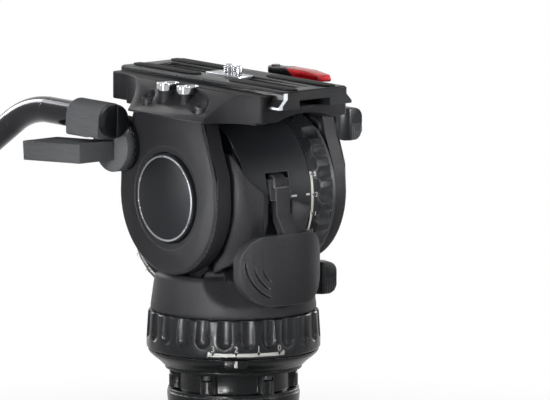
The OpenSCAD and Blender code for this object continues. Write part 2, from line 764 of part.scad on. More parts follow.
module counterbalance_dial() color(black) difference() {
    translate([dial_x0, dial_y, dial_z]) rotate([0, 90, 0]) rotate_extrude() polygon([
        [dial_bore, 0], [dial_r - 3, 0], [dial_r, 1.6], [dial_r, dial_x1 - dial_x0 - 0.6],
        [dial_r - 0.6, dial_x1 - dial_x0], [dial_bore, dial_x1 - dial_x0]]);
    for (i = [0 : flute_count - 1]) translate([0, dial_y, dial_z]) rotate([360 / flute_count * i, 0, 0])
        translate([dial_x0 + 1.2, 0, dial_r + 3.6]) rotate([0, 90, 0])
            cylinder(r = 5.2, h = 12, $fn = 32);
}

module counterbalance_scale() color(white)
    translate([dial_x0, dial_y, dial_z]) rotate([0, 90, 0]) rotate([0, 0, 45 - dial_scale_angle / 2])
        rotate_extrude(angle = dial_scale_angle) translate([dial_scale_r, -scale_t / 2])
            square([dial_scale_w, scale_t / 2]);

// Levelling lever

paddle_x = -lever_x;
paddle_y = -paddle_front + paddle_curve;
paddle_top = paddle_foot + paddle_h;
groove_r = 13.6;
groove_pitch = 3.9;
groove_w = 1.1;

module paddle_outline() {
    r_top = 15;
    r_foot = 17;
    w = paddle_w / 2;
    translate([-w + r_foot, paddle_foot]) square([paddle_w - 2 * r_foot, paddle_h]);
    translate([-w, paddle_foot + r_foot]) square([paddle_w, paddle_h - r_foot - r_top]);
    translate([-w + r_top, paddle_foot + r_foot]) square([paddle_w - 2 * r_top, paddle_h - r_foot]);
    for (s = [-1, 1]) {
        translate([s * (w - r_foot), paddle_foot + r_foot]) circle(r_foot);
        translate([s * (w - r_top), paddle_top - r_top]) circle(r_top);
    }
}

module level_lever() color(dark) difference() {
    union() {
        difference() {
            intersection() {
                translate([paddle_x, paddle_y, paddle_foot]) difference() {
                    cylinder(r = paddle_curve, h = paddle_h);
                    translate([0, 0, -cut]) cylinder(r = paddle_curve - paddle_t, h = paddle_h + 2 * cut);
                }
                translate([paddle_x, 0, 0]) along_y(-80, paddle_y - 4) paddle_outline();
            }
            for (i = [0 : 2]) groove(i);
        }
        along_x(paddle_x - stem_waist / 2 + 1.5, paddle_x + stem_waist / 2 + 1.5) polygon([
            [-paddle_front + 0.8, paddle_top - 10], [-paddle_front + 3.4, paddle_top + 1],
            [-housing_half - 1.2, pivot_z - 14], [-housing_half - 1.2, pivot_z],
            [pivot_y, pivot_z], [pivot_y, pivot_z - 12], [-paddle_front + 11, paddle_top + 3],
            [-paddle_front + 4.4, paddle_top - 10]]);
        along_x(paddle_x - stem_w / 2, paddle_x + stem_w / 2) {
            polygon([
                [-housing_half - 0.6, pivot_z - 7], [-housing_half + 0.6, pivot_z + 4.6],
                [pivot_y, pivot_z + 4.8], [pivot_y, pivot_z - 5]]);
            translate([pivot_y, pivot_z]) circle(lever_pin_r + 1.1);
        }
        cyl_x(cam_r, paddle_x - rocker_w / 2, paddle_x + rocker_w / 2,
            pivot_y + cam_throw * cos(cam_angle), pivot_z + cam_throw * sin(cam_angle));
    }
    cyl_x(lever_pin_r + fit_gap, slot_left, slot_right, pivot_y, pivot_z);
}

// One of three arcs pressed into the lower left of the paddle
module groove(i) {
    r = groove_r + groove_pitch * i;
    translate([paddle_x - 4.9, 0, paddle_foot + 24.6]) rotate([90, 0, 0])
        rotate([0, 0, 196 - 9.5 * i]) translate([0, 0, -paddle_y - 4]) rotate_extrude(angle = 33 + 17.5 * i)
            translate([r - groove_w / 2, 0]) square([groove_w, 60]);
}

module release_rocker() color(steel) difference() {
    along_x(-lever_x - rocker_w / 2, -lever_x + rocker_w / 2) {
        pad_y = pivot_y + cam_reach + 0.6;
        polygon([
            [pad_y, pivot_z - 5], [rocker_y - 5, rocker_z], [rocker_y + 2, rocker_z - 5],
            [-4, rod_head_top + run_gap], [1, rod_head_top + run_gap], [1, rod_head_top + 5],
            [rocker_y + 5, rocker_z + 2], [pad_y + 5, pivot_z + 3], [pad_y, pivot_z + 3]]);
        translate([rocker_y, rocker_z]) circle(5.4);
    }
    cyl_x(lever_pin_r + fit_gap, -30, 30, rocker_y, rocker_z);
}

// Brakes

// A wing handle on a round hub, standing along +X from the origin
module wing(screw_len) {
    difference() {
        union() {
            cyl_x(hub_r, 0, hub_l, 0, 0);
            along_y(-wing_t / 2, wing_t / 2) translate([hub_l - 2, -wing_h / 2])
                round_rect(wing_l + 2, wing_h, 5.5);
            cyl_x(brake_screw_r, -screw_len, cut, 0, 0);
        }
        for (s = [-1, 1]) translate([hub_l + 1, s * (wing_t / 2 + 5.4), -wing_h])
            cylinder(r = 7, h = 2 * wing_h, $fn = 48);
        for (i = [-2 : 2], s = [-1, 1])
            translate([hub_l + wing_l - 3.5 + 1.4 * i, s * (wing_t / 2 + 0.5), -wing_h])
                cylinder(r = 0.9, h = wing_h, $fn = 16);
    }
}

module tilt_brake_wing() color(black) translate([arm_out + run_gap, tilt_brake_y, tilt_brake_z])
    wing(right_arm_t - tilt_shoe_t);

module tilt_brake_shoe() color(grey)
    cyl_x(tilt_shoe_r, disc_x0 + disc_t + run_gap, right_arm_in + tilt_shoe_t, tilt_brake_y, tilt_brake_z);

module pan_brake_wing() color(black) rotate([0, 0, pan_brake_angle])
    translate([pan_brake_x, 0, pan_brake_z]) wing(pan_brake_x - pan_shoe_x - run_gap);

module pan_brake_shoe() color(grey) rotate([0, 0, pan_brake_angle])
    cyl_x(brake_screw_r, brake_drum_r + run_gap, pan_shoe_x, 0, pan_brake_z);

// Platform and arms

module slope_profile() polygon([
    [-apron_w, apron_z], [-apron_w, apron_z + 1], [-crest_w, rail_z], [crest_w, rail_z],
    [apron_w, apron_z + 1], [apron_w, apron_z]]);

module dovetail(gap, top) polygon([
    [-dovetail_w - gap, floor_z], [-dovetail_w - gap, plate_z + dovetail_foot + gap],
    [-plate_w - gap, plate_z + dovetail_foot + dovetail_rise + gap], [-plate_w - gap, top],
    [plate_w + gap, top], [plate_w + gap, plate_z + dovetail_foot + dovetail_rise + gap],
    [dovetail_w + gap, plate_z + dovetail_foot + gap], [dovetail_w + gap, floor_z]]);

arm_screw_x = [-arm_out + left_arm_t / 2, arm_out - right_arm_t / 2];
arm_screw_r = 2.5;
arm_screw_depth = apron_up - tilt_brake_up - brake_screw_r - 1;
arm_head_r = 4.2;
arm_head_z = apron_z + 4;
spare_x = -apron_w + 10;
spare_y = [2 - spare_pitch / 2, 2 + spare_pitch / 2];
spare_z = rail_z - spare_head_h + 1;
spare_shank_l = spare_z - (tilt_z + dial_back + dial_r + 0.8) - 1;
spare_shank_r = [3.175, 4.75];
spare_ring_r = spare_head_r - 1.2;
lock_x = rail_w + 4.6;
lock_y = 6;
lock_z = rail_z + run_gap;
jaw_x0 = plate_w + dovetail_gap;
jaw_wall = rail_w - 2.4;
jaw_foot = plate_z + dovetail_foot + dovetail_gap;
jaw_lean = (dovetail_w - plate_w) / (plate_t - dovetail_foot);

module platform() color(dark) difference() {
    union() {
        difference() {
            along_y(-front_len, rear_len) translate([-rail_w, end_z]) square([2 * rail_w, rail_z - end_z]);
            for (x = [-rail_w, rail_w], y = [-front_len, rear_len]) translate([x, y, 0]) corner_cut(x, y);
        }
        difference() {
            along_y(-front_len + 6, front_len - 6) slope_profile();
            for (x = [-1, 1], y = [-1, 1])
                translate([x * (rail_w + apron_scoop_r), y * (front_len - 6), apron_z - cut])
                    cylinder(r = apron_scoop_r, h = rail_h + 2 * cut);
        }
    }
    along_y(-front_len - cut, rear_len + cut) dovetail(dovetail_gap, rail_z + cut);
    cyl_x(swing_r, left_arm_in, right_arm_in);
    cyl_y(swing_r, -front_len - cut, rear_len + cut, 0, tilt_z);
    cyl_x(dial_r + 0.8, left_arm_in, dial_x1 + run_gap, dial_down, tilt_z + dial_back);
    for (x = arm_screw_x, y = [-arm_screw_y, arm_screw_y]) translate([x, y, 0]) {
        translate([0, 0, arm_head_z]) cylinder(r = arm_head_r, h = 30);
        translate([0, 0, apron_z - cut]) cylinder(r = arm_screw_r + seat_gap, h = 30);
    }
    for (i = [0, 1]) translate([spare_x, spare_y[i], 0]) {
        translate([0, 0, spare_z]) cylinder(r = spare_head_r + 0.6, h = 30);
        translate([0, 0, spare_z - spare_shank_l - 0.4]) cylinder(r = spare_shank_r[i] + seat_gap, h = 30);
    }
    translate([jaw_x0 - cut, -jaw_len / 2 - run_gap, floor_z + 0.6])
        cube([jaw_wall - jaw_x0 + cut, jaw_len + 2 * run_gap, rail_z]);
    translate([lock_x, lock_y, rail_z - 9]) cylinder(r = 2.5, h = 20);
}

// Rounds an upright corner of the platform ends
module corner_cut(x, y) {
    r = 3;
    sx = sign(x);
    sy = sign(y);
    difference() {
        translate([sx > 0 ? -r : -cut, sy > 0 ? -r : -cut, apron_z])
            cube([r + cut, r + cut, rail_h + cut]);
        translate([-sx * r, -sy * r, apron_z - cut]) cylinder(r = r, h = rail_h + 3 * cut, $fn = 32);
    }
}

// Outline of an arm round the tilt axis, drawn in by a margin
module arm_outline(inset) {
    circle(arm_r - inset);
    polygon([
        [-arm_top_w + inset, apron_up], [arm_top_w - inset, apron_up],
        [arm_top_w + 4.4 - inset, apron_up * 0.68], [arm_r - 0.7 - inset, apron_up * 0.33],
        [arm_r - inset, 0], [-arm_r + inset, 0],
        [-arm_r + 0.7 + inset, apron_up * 0.33], [-arm_top_w - 4.4 + inset, apron_up * 0.68]]);
}

// An arm from its inner face at x = 0 outwards along +X
module arm_blank(t) {
    translate([0, 0, tilt_z]) {
        along_x(0, t - arm_bevel) arm_outline(0);
        hull() {
            along_x(t - arm_bevel - 0.02, t - arm_bevel) arm_outline(0, $fn = 72);
            along_x(t - 0.02, t) arm_outline(arm_bevel, $fn = 72);
        }
    }
    along_x(t - ear_t, t) translate([rosette_y, rosette_z]) circle(rosette_r + 0.8);
}

module left_arm() color(dark) difference() {
    translate([left_arm_in, 0, 0]) mirror([1, 0, 0]) arm_blank(left_arm_t);
    cyl_x(axle_r, -arm_out - 30, 0);
    cyl_x(disc_r + 0.8, -arm_out - cut, -arm_out + 5);
    cyl_x(disc_r + 4.2, -arm_out - cut, -arm_out + 0.7);
    cyl_x(bar_screw_r + fit_gap, -arm_out - 30, 0, rosette_y, rosette_z);
    for (y = [-arm_screw_y, arm_screw_y]) translate([arm_screw_x[0], y, apron_z - arm_screw_depth])
        cylinder(r = arm_screw_r, h = 20);
}

module right_arm() color(dark) difference() {
    translate([right_arm_in, 0, 0]) arm_blank(right_arm_t);
    cyl_x(axle_r, 0, arm_out + 30);
    cyl_x(disc_r + 0.8, arm_out - 3, arm_out + cut);
    cyl_x(bar_screw_r, right_arm_in + 1.4, arm_out + 30, rosette_y, rosette_z);
    cyl_x(brake_screw_r + fit_gap, 0, arm_out + 30, tilt_brake_y, tilt_brake_z);
    cyl_x(tilt_shoe_r + seat_gap, right_arm_in - cut, right_arm_in + tilt_shoe_t,
        tilt_brake_y, tilt_brake_z);
    for (y = [-arm_screw_y, arm_screw_y]) translate([arm_screw_x[1], y, apron_z - arm_screw_depth])
        cylinder(r = arm_screw_r, h = 20);
}

ring_r = disc_r - 1;
ring_w = 0.9;

module side_disc() color(black) difference() {
    union() {
        cyl_x(disc_r, -arm_out - disc_proud + 0.8, -arm_out + 5);
        translate([-arm_out - disc_proud + 0.8, 0, tilt_z]) rotate([0, -90, 0])
            cylinder(r1 = disc_r, r2 = disc_r - 0.8, h = 0.8);
    }
    tube_x(ring_r, ring_r - ring_w, -arm_out - disc_proud - cut, -arm_out - disc_proud + 0.6);
}

module disc_ring() color(steel)
    tube_x(ring_r - 0.02, ring_r - ring_w + 0.02, -arm_out - disc_proud, -arm_out - disc_proud + 0.6);

module right_cap() color(black) {
    cyl_x(disc_r, arm_out - 3, arm_out + 0.6);
    translate([arm_out + 0.6, 0, tilt_z]) rotate([0, 90, 0]) cylinder(r1 = disc_r, r2 = disc_r - 0.8, h = 0.8);
}

module tilt_axle() color(steel) cyl_x(axle_r, -arm_out + 5, arm_out - 3);

module arm_screws() color(steel) for (x = arm_screw_x, y = [-arm_screw_y, arm_screw_y]) translate([x, y, 0]) {
    translate([0, 0, arm_head_z]) difference() {
        cylinder(r = arm_head_r - 0.4, h = 4);
        translate([0, 0, 2]) cylinder(r = 2, h = 4, $fn = 6);
    }
    translate([0, 0, apron_z - arm_screw_depth + 0.5])
        cylinder(r = arm_screw_r - 0.02, h = arm_screw_depth + 4);
}

rosette_teeth = 24;

// A toothed disc on the outer face of an arm, standing along +X from x = 0
module rosette(bore) difference() {
    cyl_x(rosette_r, 0, rosette_t, 0, 0);
    cyl_x(bore, -cut, rosette_t + cut, 0, 0);
    for (i = [0 : rosette_teeth - 1]) rotate([360 / rosette_teeth * i, 0, 0])
        translate([rosette_t, 0, rosette_r * 0.5])
            linear_extrude(rosette_r) polygon([[-1, 0], [0.2, -1.2], [0.2, 1.2]]);
}

module arm_rosettes() color(black) {
    translate([arm_out, rosette_y, rosette_z]) rosette(bar_screw_r);
    translate([-arm_out, rosette_y, rosette_z]) mirror([1, 0, 0]) rosette(bar_screw_r + fit_gap);
}

module spare_screws() color(steel) for (i = [0, 1]) translate([spare_x, spare_y[i], spare_z]) {
    cylinder(r = spare_head_r, h = spare_head_h);
    translate([0, -spare_ring_r, spare_head_h - 0.4]) difference() {
        cylinder(r = spare_ring_r, h = 1);
        translate([0, 0, -cut]) cylinder(r = spare_ring_r - 1.2, h = 2);
    }
    translate([0, 0, -spare_shank_l]) cylinder(r = spare_shank_r[i], h = spare_shank_l + 0.4);
}

// Camera plate and its lock

module camera_plate() color(black) difference() {
    along_y(-plate_len, plate_len) intersection() {
        dovetail(0, plate_top);
        translate([-60, plate_z]) square([120, plate_top]);
    }
    translate([-slot_w / 2, -slot_len, plate_z - cut]) linear_extrude(plate_t + 2 * cut)
        round_rect(slot_w, 2 * slot_len, slot_w / 2 - 0.01);
    translate([-11, -plate_len - cut, plate_z - cut]) cube([22, 2 * plate_len + 2 * cut, 4.5 + cut]);
    for (s = [-1, 1]) translate([s * plate_w, 0, plate_top]) rotate([0, 45, 0])
        cube([1.4, 4 * plate_len, 1.4], center = true);
    for (s = [-1, 1]) translate([0, s * plate_len, plate_top]) rotate([45, 0, 0])
        cube([4 * plate_w, 1.2, 1.2], center = true);
    translate([-carrier_w - run_gap, -slot_len - 2, plate_top - 1.4])
        cube([2 * (carrier_w + run_gap), 2 * slot_len + 4, 3]);
}

// One pointed rubber strip, centred on the origin
module strip(l, w) polygon([
    [-w / 2, -l / 2 + w * 0.6], [-w / 4, -l / 2], [w / 4, -l / 2], [w / 2, -l / 2 + w * 0.6],
    [w / 2, l / 2 - w * 0.6], [w / 4, l / 2], [-w / 4, l / 2], [-w / 2, l / 2 - w * 0.6]]);

pad_w = 8.6;
pad_len = plate_len - 17;

module plate_pads() color(rubber) for (x = [-1, 1], y = [-1, 1])
    translate([x * (plate_w + slot_w / 2) / 2, y * (plate_len + 8) / 2 + (y > 0 ? 2 : -3), plate_top])
        linear_extrude(pad_t) strip(pad_len, pad_w);

carrier_w = 5.6;
carrier_up = 0.5;

module screw_carrier() color(steel) difference() {
    union() {
        translate([-carrier_w, screw_y - pin_pitch - 6, plate_top - 1.1])
            cube([2 * carrier_w, pin_pitch + 20, 1.1 + carrier_up]);
        translate([-slot_w / 2 + 0.3, screw_y - pin_pitch - 6, plate_top - plate_t + 5])
            cube([slot_w - 0.6, pin_pitch + 20, plate_t - 5.4]);
    }
    translate([0, screw_y, plate_z]) cylinder(r = screw_r - 0.5 + fit_gap, h = 2 * plate_t);
    translate([0, screw_y - pin_pitch, plate_z]) cylinder(r = pin_r - 0.5, h = 2 * plate_t);
}

module video_pin() color(steel) translate([0, screw_y - pin_pitch, plate_top - 4]) {
    cylinder(r = pin_r - 0.52, h = 5);
    translate([0, 0, 4 + carrier_up]) cylinder(r = pin_r, h = screw_up - carrier_up - 0.8);
    translate([0, 0, 4 + screw_up - 0.8]) cylinder(r1 = pin_r, r2 = pin_r - 0.6, h = 0.6);
}

module camera_screw() color(steel) translate([0, screw_y, 0]) {
    translate([0, 0, plate_z + 0.6]) difference() {
        cylinder(r = 7, h = 3.6);
        translate([-8, -0.8, -cut]) cube([16, 1.6, 1.4 + cut]);
    }
    translate([0, 0, plate_z + 4]) cylinder(r = screw_r - 0.5, h = plate_t - 3);
    translate([0, 0, plate_top + carrier_up + 0.4]) cylinder(r = screw_r, h = screw_up - carrier_up - 0.4);
}

module lock_pin() color(steel) translate([lock_x, lock_y, rail_z - 9])
    cylinder(r = 2.48, h = 9 + run_gap + lock_t);

module plate_lock_lever() color(red) difference() {
    translate([lock_x, lock_y, lock_z]) intersection() {
        linear_extrude(lock_t) {
            circle(lock_w / 2);
            translate([-lock_w / 2, -lock_len + 4]) square([lock_w, lock_len - 4]);
            translate([0, -lock_len + lock_w / 2]) circle(lock_w / 2);
        }
        along_x(-lock_w, lock_w) polygon([
            [lock_w, 0], [lock_w, lock_t * 0.85], [-4, lock_t * 0.85], [-12, lock_t],
            [-lock_len + 16, lock_t], [-lock_len + 4, lock_t * 0.7], [-lock_len - cut, 0]]);
    }
    translate([lock_x, lock_y, lock_z - cut]) cylinder(r = 2.48 + fit_gap, h = 20);
}

// The jaw's nose grips the foot of the plate's flank, and leans away from it above
module clamp_jaw() color(black) along_y(-jaw_len / 2, jaw_len / 2) polygon([
    [dovetail_w + dovetail_gap - jaw_lean * (rail_z - 0.2 - jaw_foot), rail_z - 0.2],
    [dovetail_w + dovetail_gap, jaw_foot],
    [jaw_wall - jaw_travel - run_gap, plate_z + dovetail_foot + dovetail_gap],
    [jaw_wall - jaw_travel - run_gap, rail_z - 0.2]]);

// Pan bar

// The clamp's straight outer side, with a small radius at its foot
module hub_flank() {
    r = 1.6;
    translate([0, r]) square([bar_hub_r, bar_hub_r - r]);
    translate([r, 0]) square([bar_hub_r - r, bar_hub_r]);
    translate([r, r]) circle(r, $fn = 24);
}

module bar_clamp() color(grey) difference() {
    union() {
        cyl_x(rosette_r, clamp_x - clamp_t, clamp_x, rosette_y, rosette_z);
        cyl_y(bar_hub_r, hub_y0, hub_y0 + bar_hub_l, bar_x, bar_z);
        along_y(hub_y0, hub_y0 + bar_hub_l) translate([bar_x - bar_hub_r, bar_z - bar_hub_r]) hub_flank();
        translate([bar_x, hub_y0, rosette_z]) cube([clamp_x - bar_x, bar_hub_l - 6, bar_up]);
    }
    cyl_y(bar_r, hub_y0 - cut, hub_y0 + bar_hub_l + cut, bar_x, bar_z);
    cyl_x(bar_screw_r + fit_gap, clamp_x - 40, clamp_x + cut, rosette_y, rosette_z);
    cyl_y(bar_hub_r, hub_y0 - 20, hub_y0, bar_x, bar_z);
    translate([bar_lever_x - 20, hub_y0 - 20, rosette_z - 40])
        cube([20 + run_gap, 80, 40 + bar_up - bar_hub_r - 0.3]);
    translate([bar_lever_x - 20, hub_y0 - cut, rosette_z])
        cube([20 + run_gap, rosette_y - hub_y0 + 5, bar_up - bar_hub_r + lever_room]);
}

module bar_end_cap() color(black) difference() {
    union() {
        cyl_y(bar_hub_r - 0.4, hub_y0 - 3.4, hub_y0, bar_x, bar_z);
        translate([bar_x, hub_y0 - 3.4, bar_z]) rotate([90, 0, 0])
            cylinder(r1 = bar_hub_r - 0.4, r2 = bar_hub_r - 1.6, h = 1.2);
    }
    translate([bar_x - 0.8, hub_y0 - 6, bar_z - 20]) cube([1.6, 2.6, 40]);
}

module pan_bar_tube() color(grey) translate([bar_x, 0, bar_z]) {
    y1 = hub_y0 + bar_straight;
    cyl_y(bar_r - 0.02, hub_y0, y1 + bend_lap, 0, 0);
    translate([0, y1, -bend_r]) rotate([90, 0, 90]) rotate([0, 0, 90 - bend_angle])
        rotate_extrude(angle = bend_angle) translate([bend_r, 0]) circle(bar_r - bend_lap / 10);
    translate([0, y1, -bend_r]) rotate([-bend_angle, 0, 0]) translate([0, 0, bend_r])
        cyl_y(bar_r - 0.02, -bend_lap, bar_reach, 0, 0);
}

module pan_bar_grip() color(rubber) translate([bar_x, hub_y0 + bar_straight, bar_z - bend_r])
    rotate([-bend_angle, 0, 0]) translate([0, 0, bend_r]) difference() {
        translate([0, bar_reach - grip_len, 0]) rotate([-90, 0, 0]) rotate_extrude() polygon([
            [0, 0], [grip_r - 2.5, 0], [grip_r - 0.6, 6], [grip_r - 1.6, grip_len * 0.45],
            [grip_r, grip_len - 12], [grip_r, grip_len + 2], [grip_r - 3, grip_len + 6], [0, grip_len + 6]]);
        cyl_y(bar_r, bar_reach - grip_len - cut, bar_reach, 0, 0);
    }

module bar_lever() color(grey) translate([bar_lever_x, rosette_y, rosette_z]) rotate([-bar_lever_tilt, 0, 0]) {
    difference() {
        translate([0, 0, -bar_lever_t + 3]) linear_extrude(bar_lever_t) polygon([
            [0, -bar_screw_r - 0.7], [-bar_lever_w, -bar_screw_r - 0.4], [-bar_lever_w, bar_lever_l],
            [0, bar_lever_l]]);
        cyl_x(bar_screw_r, -bar_lever_w + 4, cut, 0, 0);
    }
    cyl_x(bar_screw_r, -bar_lever_w + 4, run_gap + clamp_t + run_gap + rosette_t + 6, 0, 0);
}

bowl_base();
base_flange();
flange_screws();
pan_shaft();
pan_drag_cartridge();
pan_thrust_washer();
pan_brake_drum();
pan_drag_ring();
pan_scale_band();
tie_rod();
rod_spring();
bowl_claw();
claw_pads();
claw_nut();
turret_body();
tilt_drum();
pan_bush();
pan_drag_rotor();
tilt_bushes();
tilt_drag_cartridge();
brake_disc();
counterbalance_spring();
release_pins();
bubble_level();
bubble_bezel();
pan_brake_shoe();
pan_brake_wing();
tilt_drag_ring();
tilt_scale_band();
counterbalance_dial();
counterbalance_scale();
level_lever();
release_rocker();
platform();
left_arm();
right_arm();
side_disc();
disc_ring();
right_cap();
arm_screws();
tilt_axle();
tilt_drag_rotor();
arm_rosettes();
spare_screws();
tilt_brake_shoe();
tilt_brake_wing();
lock_pin();
plate_lock_lever();
clamp_jaw();
camera_plate();
plate_pads();
screw_carrier();
video_pin();
camera_screw();
bar_clamp();
bar_end_cap();
pan_bar_tube();
pan_bar_grip();
bar_lever();
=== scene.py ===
"""Fluid video head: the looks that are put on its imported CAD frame.

Each sub-assembly is a class with its sizes in millimetres. It gives the CAD nodes their finishes, rounds
their edges, and adds the printed scales, threads, rubber and small trim that the solids leave out.
"""

import json
import logging
import math
from dataclasses import dataclass
from enum import Enum
from typing import Iterable, Sequence, Union

import bmesh
import bpy
from mathutils import Matrix, Vector


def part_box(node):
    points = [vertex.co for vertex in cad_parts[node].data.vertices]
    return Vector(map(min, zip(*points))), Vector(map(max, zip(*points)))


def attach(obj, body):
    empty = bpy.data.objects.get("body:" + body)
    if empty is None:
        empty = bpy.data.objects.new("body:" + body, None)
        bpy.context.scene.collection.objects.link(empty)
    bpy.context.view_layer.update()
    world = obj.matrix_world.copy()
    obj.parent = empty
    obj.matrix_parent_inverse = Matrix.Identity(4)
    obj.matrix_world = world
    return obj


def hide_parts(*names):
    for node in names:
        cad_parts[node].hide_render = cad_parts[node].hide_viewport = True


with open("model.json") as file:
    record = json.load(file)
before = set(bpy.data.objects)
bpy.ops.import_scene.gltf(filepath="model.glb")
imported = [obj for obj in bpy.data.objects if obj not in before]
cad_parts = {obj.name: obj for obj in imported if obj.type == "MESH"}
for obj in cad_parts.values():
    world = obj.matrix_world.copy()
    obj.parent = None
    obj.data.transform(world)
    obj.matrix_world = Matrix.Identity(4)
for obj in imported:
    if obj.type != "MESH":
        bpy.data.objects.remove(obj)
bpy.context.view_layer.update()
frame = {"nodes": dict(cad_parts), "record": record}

LOG = logging.getLogger("video_head")
MM = 0.001
MERGE_M = 3e-6  # corners of a CAD mesh that are nearer than this are one
TINY_M = 5e-6  # edges shorter than this are dropped
FLAT = math.radians(0.5)  # faces that turn by less than this are one
SHARP = math.radians(28)  # edges that turn by more than this are rounded
SLOT_OF = {part["node"]: part["material_slot"] for part in frame["record"]["subparts"]}
BODY_OF = {node: body for body, nodes in frame["record"]["behaviour"]["bodies"].items() for node in nodes}
Socket = Union[float, int, Sequence[float], bpy.types.NodeSocket]


def linear(hex_code: str) -> tuple[float, float, float, float]:
    """Turns an sRGB hex colour into a linear one.

    Args:
        hex_code: The colour, such as "#1c1d1f".

    Returns:
        Linear red, green, blue and an alpha of 1.
    """
    parts = [int(hex_code[i:i + 2], 16) / 255 for i in (1, 3, 5)]
    red, green, blue = (c / 12.92 if c <= 0.04045 else ((c + 0.055) / 1.055) ** 2.4 for c in parts)
    return red, green, blue, 1.0


def add(tree: bpy.types.NodeTree, kind: str, settings: dict[str, object] | None = None,
        inputs: dict[Union[int, str], Socket] | None = None) -> bpy.types.Node:
    """Adds a node with its settings and links.

    Args:
        tree: The node tree that it joins.
        kind: Blender's name for the kind of node.
        settings: Properties of the node.
        inputs: Values or linked outputs, by input name or number.

    Returns:
        The node.
    """
    node = tree.nodes.new(kind)
    for key, value in (settings or {}).items():
        setattr(node, key, value)
    for key, value in (inputs or {}).items():
        if isinstance(value, bpy.types.NodeSocket):
            tree.links.new(value, node.inputs[key])
        else:
            node.inputs[key].default_value = value
    return node


def seen_directly(tree: bpy.types.NodeTree) -> bpy.types.NodeSocket:
    """Tells the rays of the camera, of gloss and through glass from the rest.

    Args:
        tree: The node tree that its nodes join.

    Returns:
        An output that is 1 for such a ray and else 0.
    """
    path = add(tree, "ShaderNodeLightPath")
    seen = path.outputs["Is Camera Ray"]
    for kind in ("Is Glossy Ray", "Is Transmission Ray"):
        both = add(tree, "ShaderNodeMath", {"operation": "MAXIMUM"}, {0: seen, 1: path.outputs[kind]})
        seen = both.outputs["Value"]
    return seen


class Grain(Enum):
    """How a surface was made, which sets the pattern of its bump."""

    COATED = "coated"
    MOULDED = "moulded"
    TURNED = "turned"
    BRUSHED = "brushed"
    PRINTED = "printed"


STRETCH = {Grain.TURNED: (0.12, 0.12, 1.0), Grain.BRUSHED: (1.0, 0.05, 1.0)}  # how a tool draws the grain out
DRIFT_MM = 14.0  # width of the patches in which roughness and the edges' rubbing and painted highlight wander
LOW, HIGH = 0.3, 0.7  # noise between which a surface goes from one value to the other
WEAR_HIGHLIGHT_START, WEAR_HIGHLIGHT_FULL = 0.998, 0.93  # share of the flat normal at which the edges' rubbing and painted highlight begin and are whole
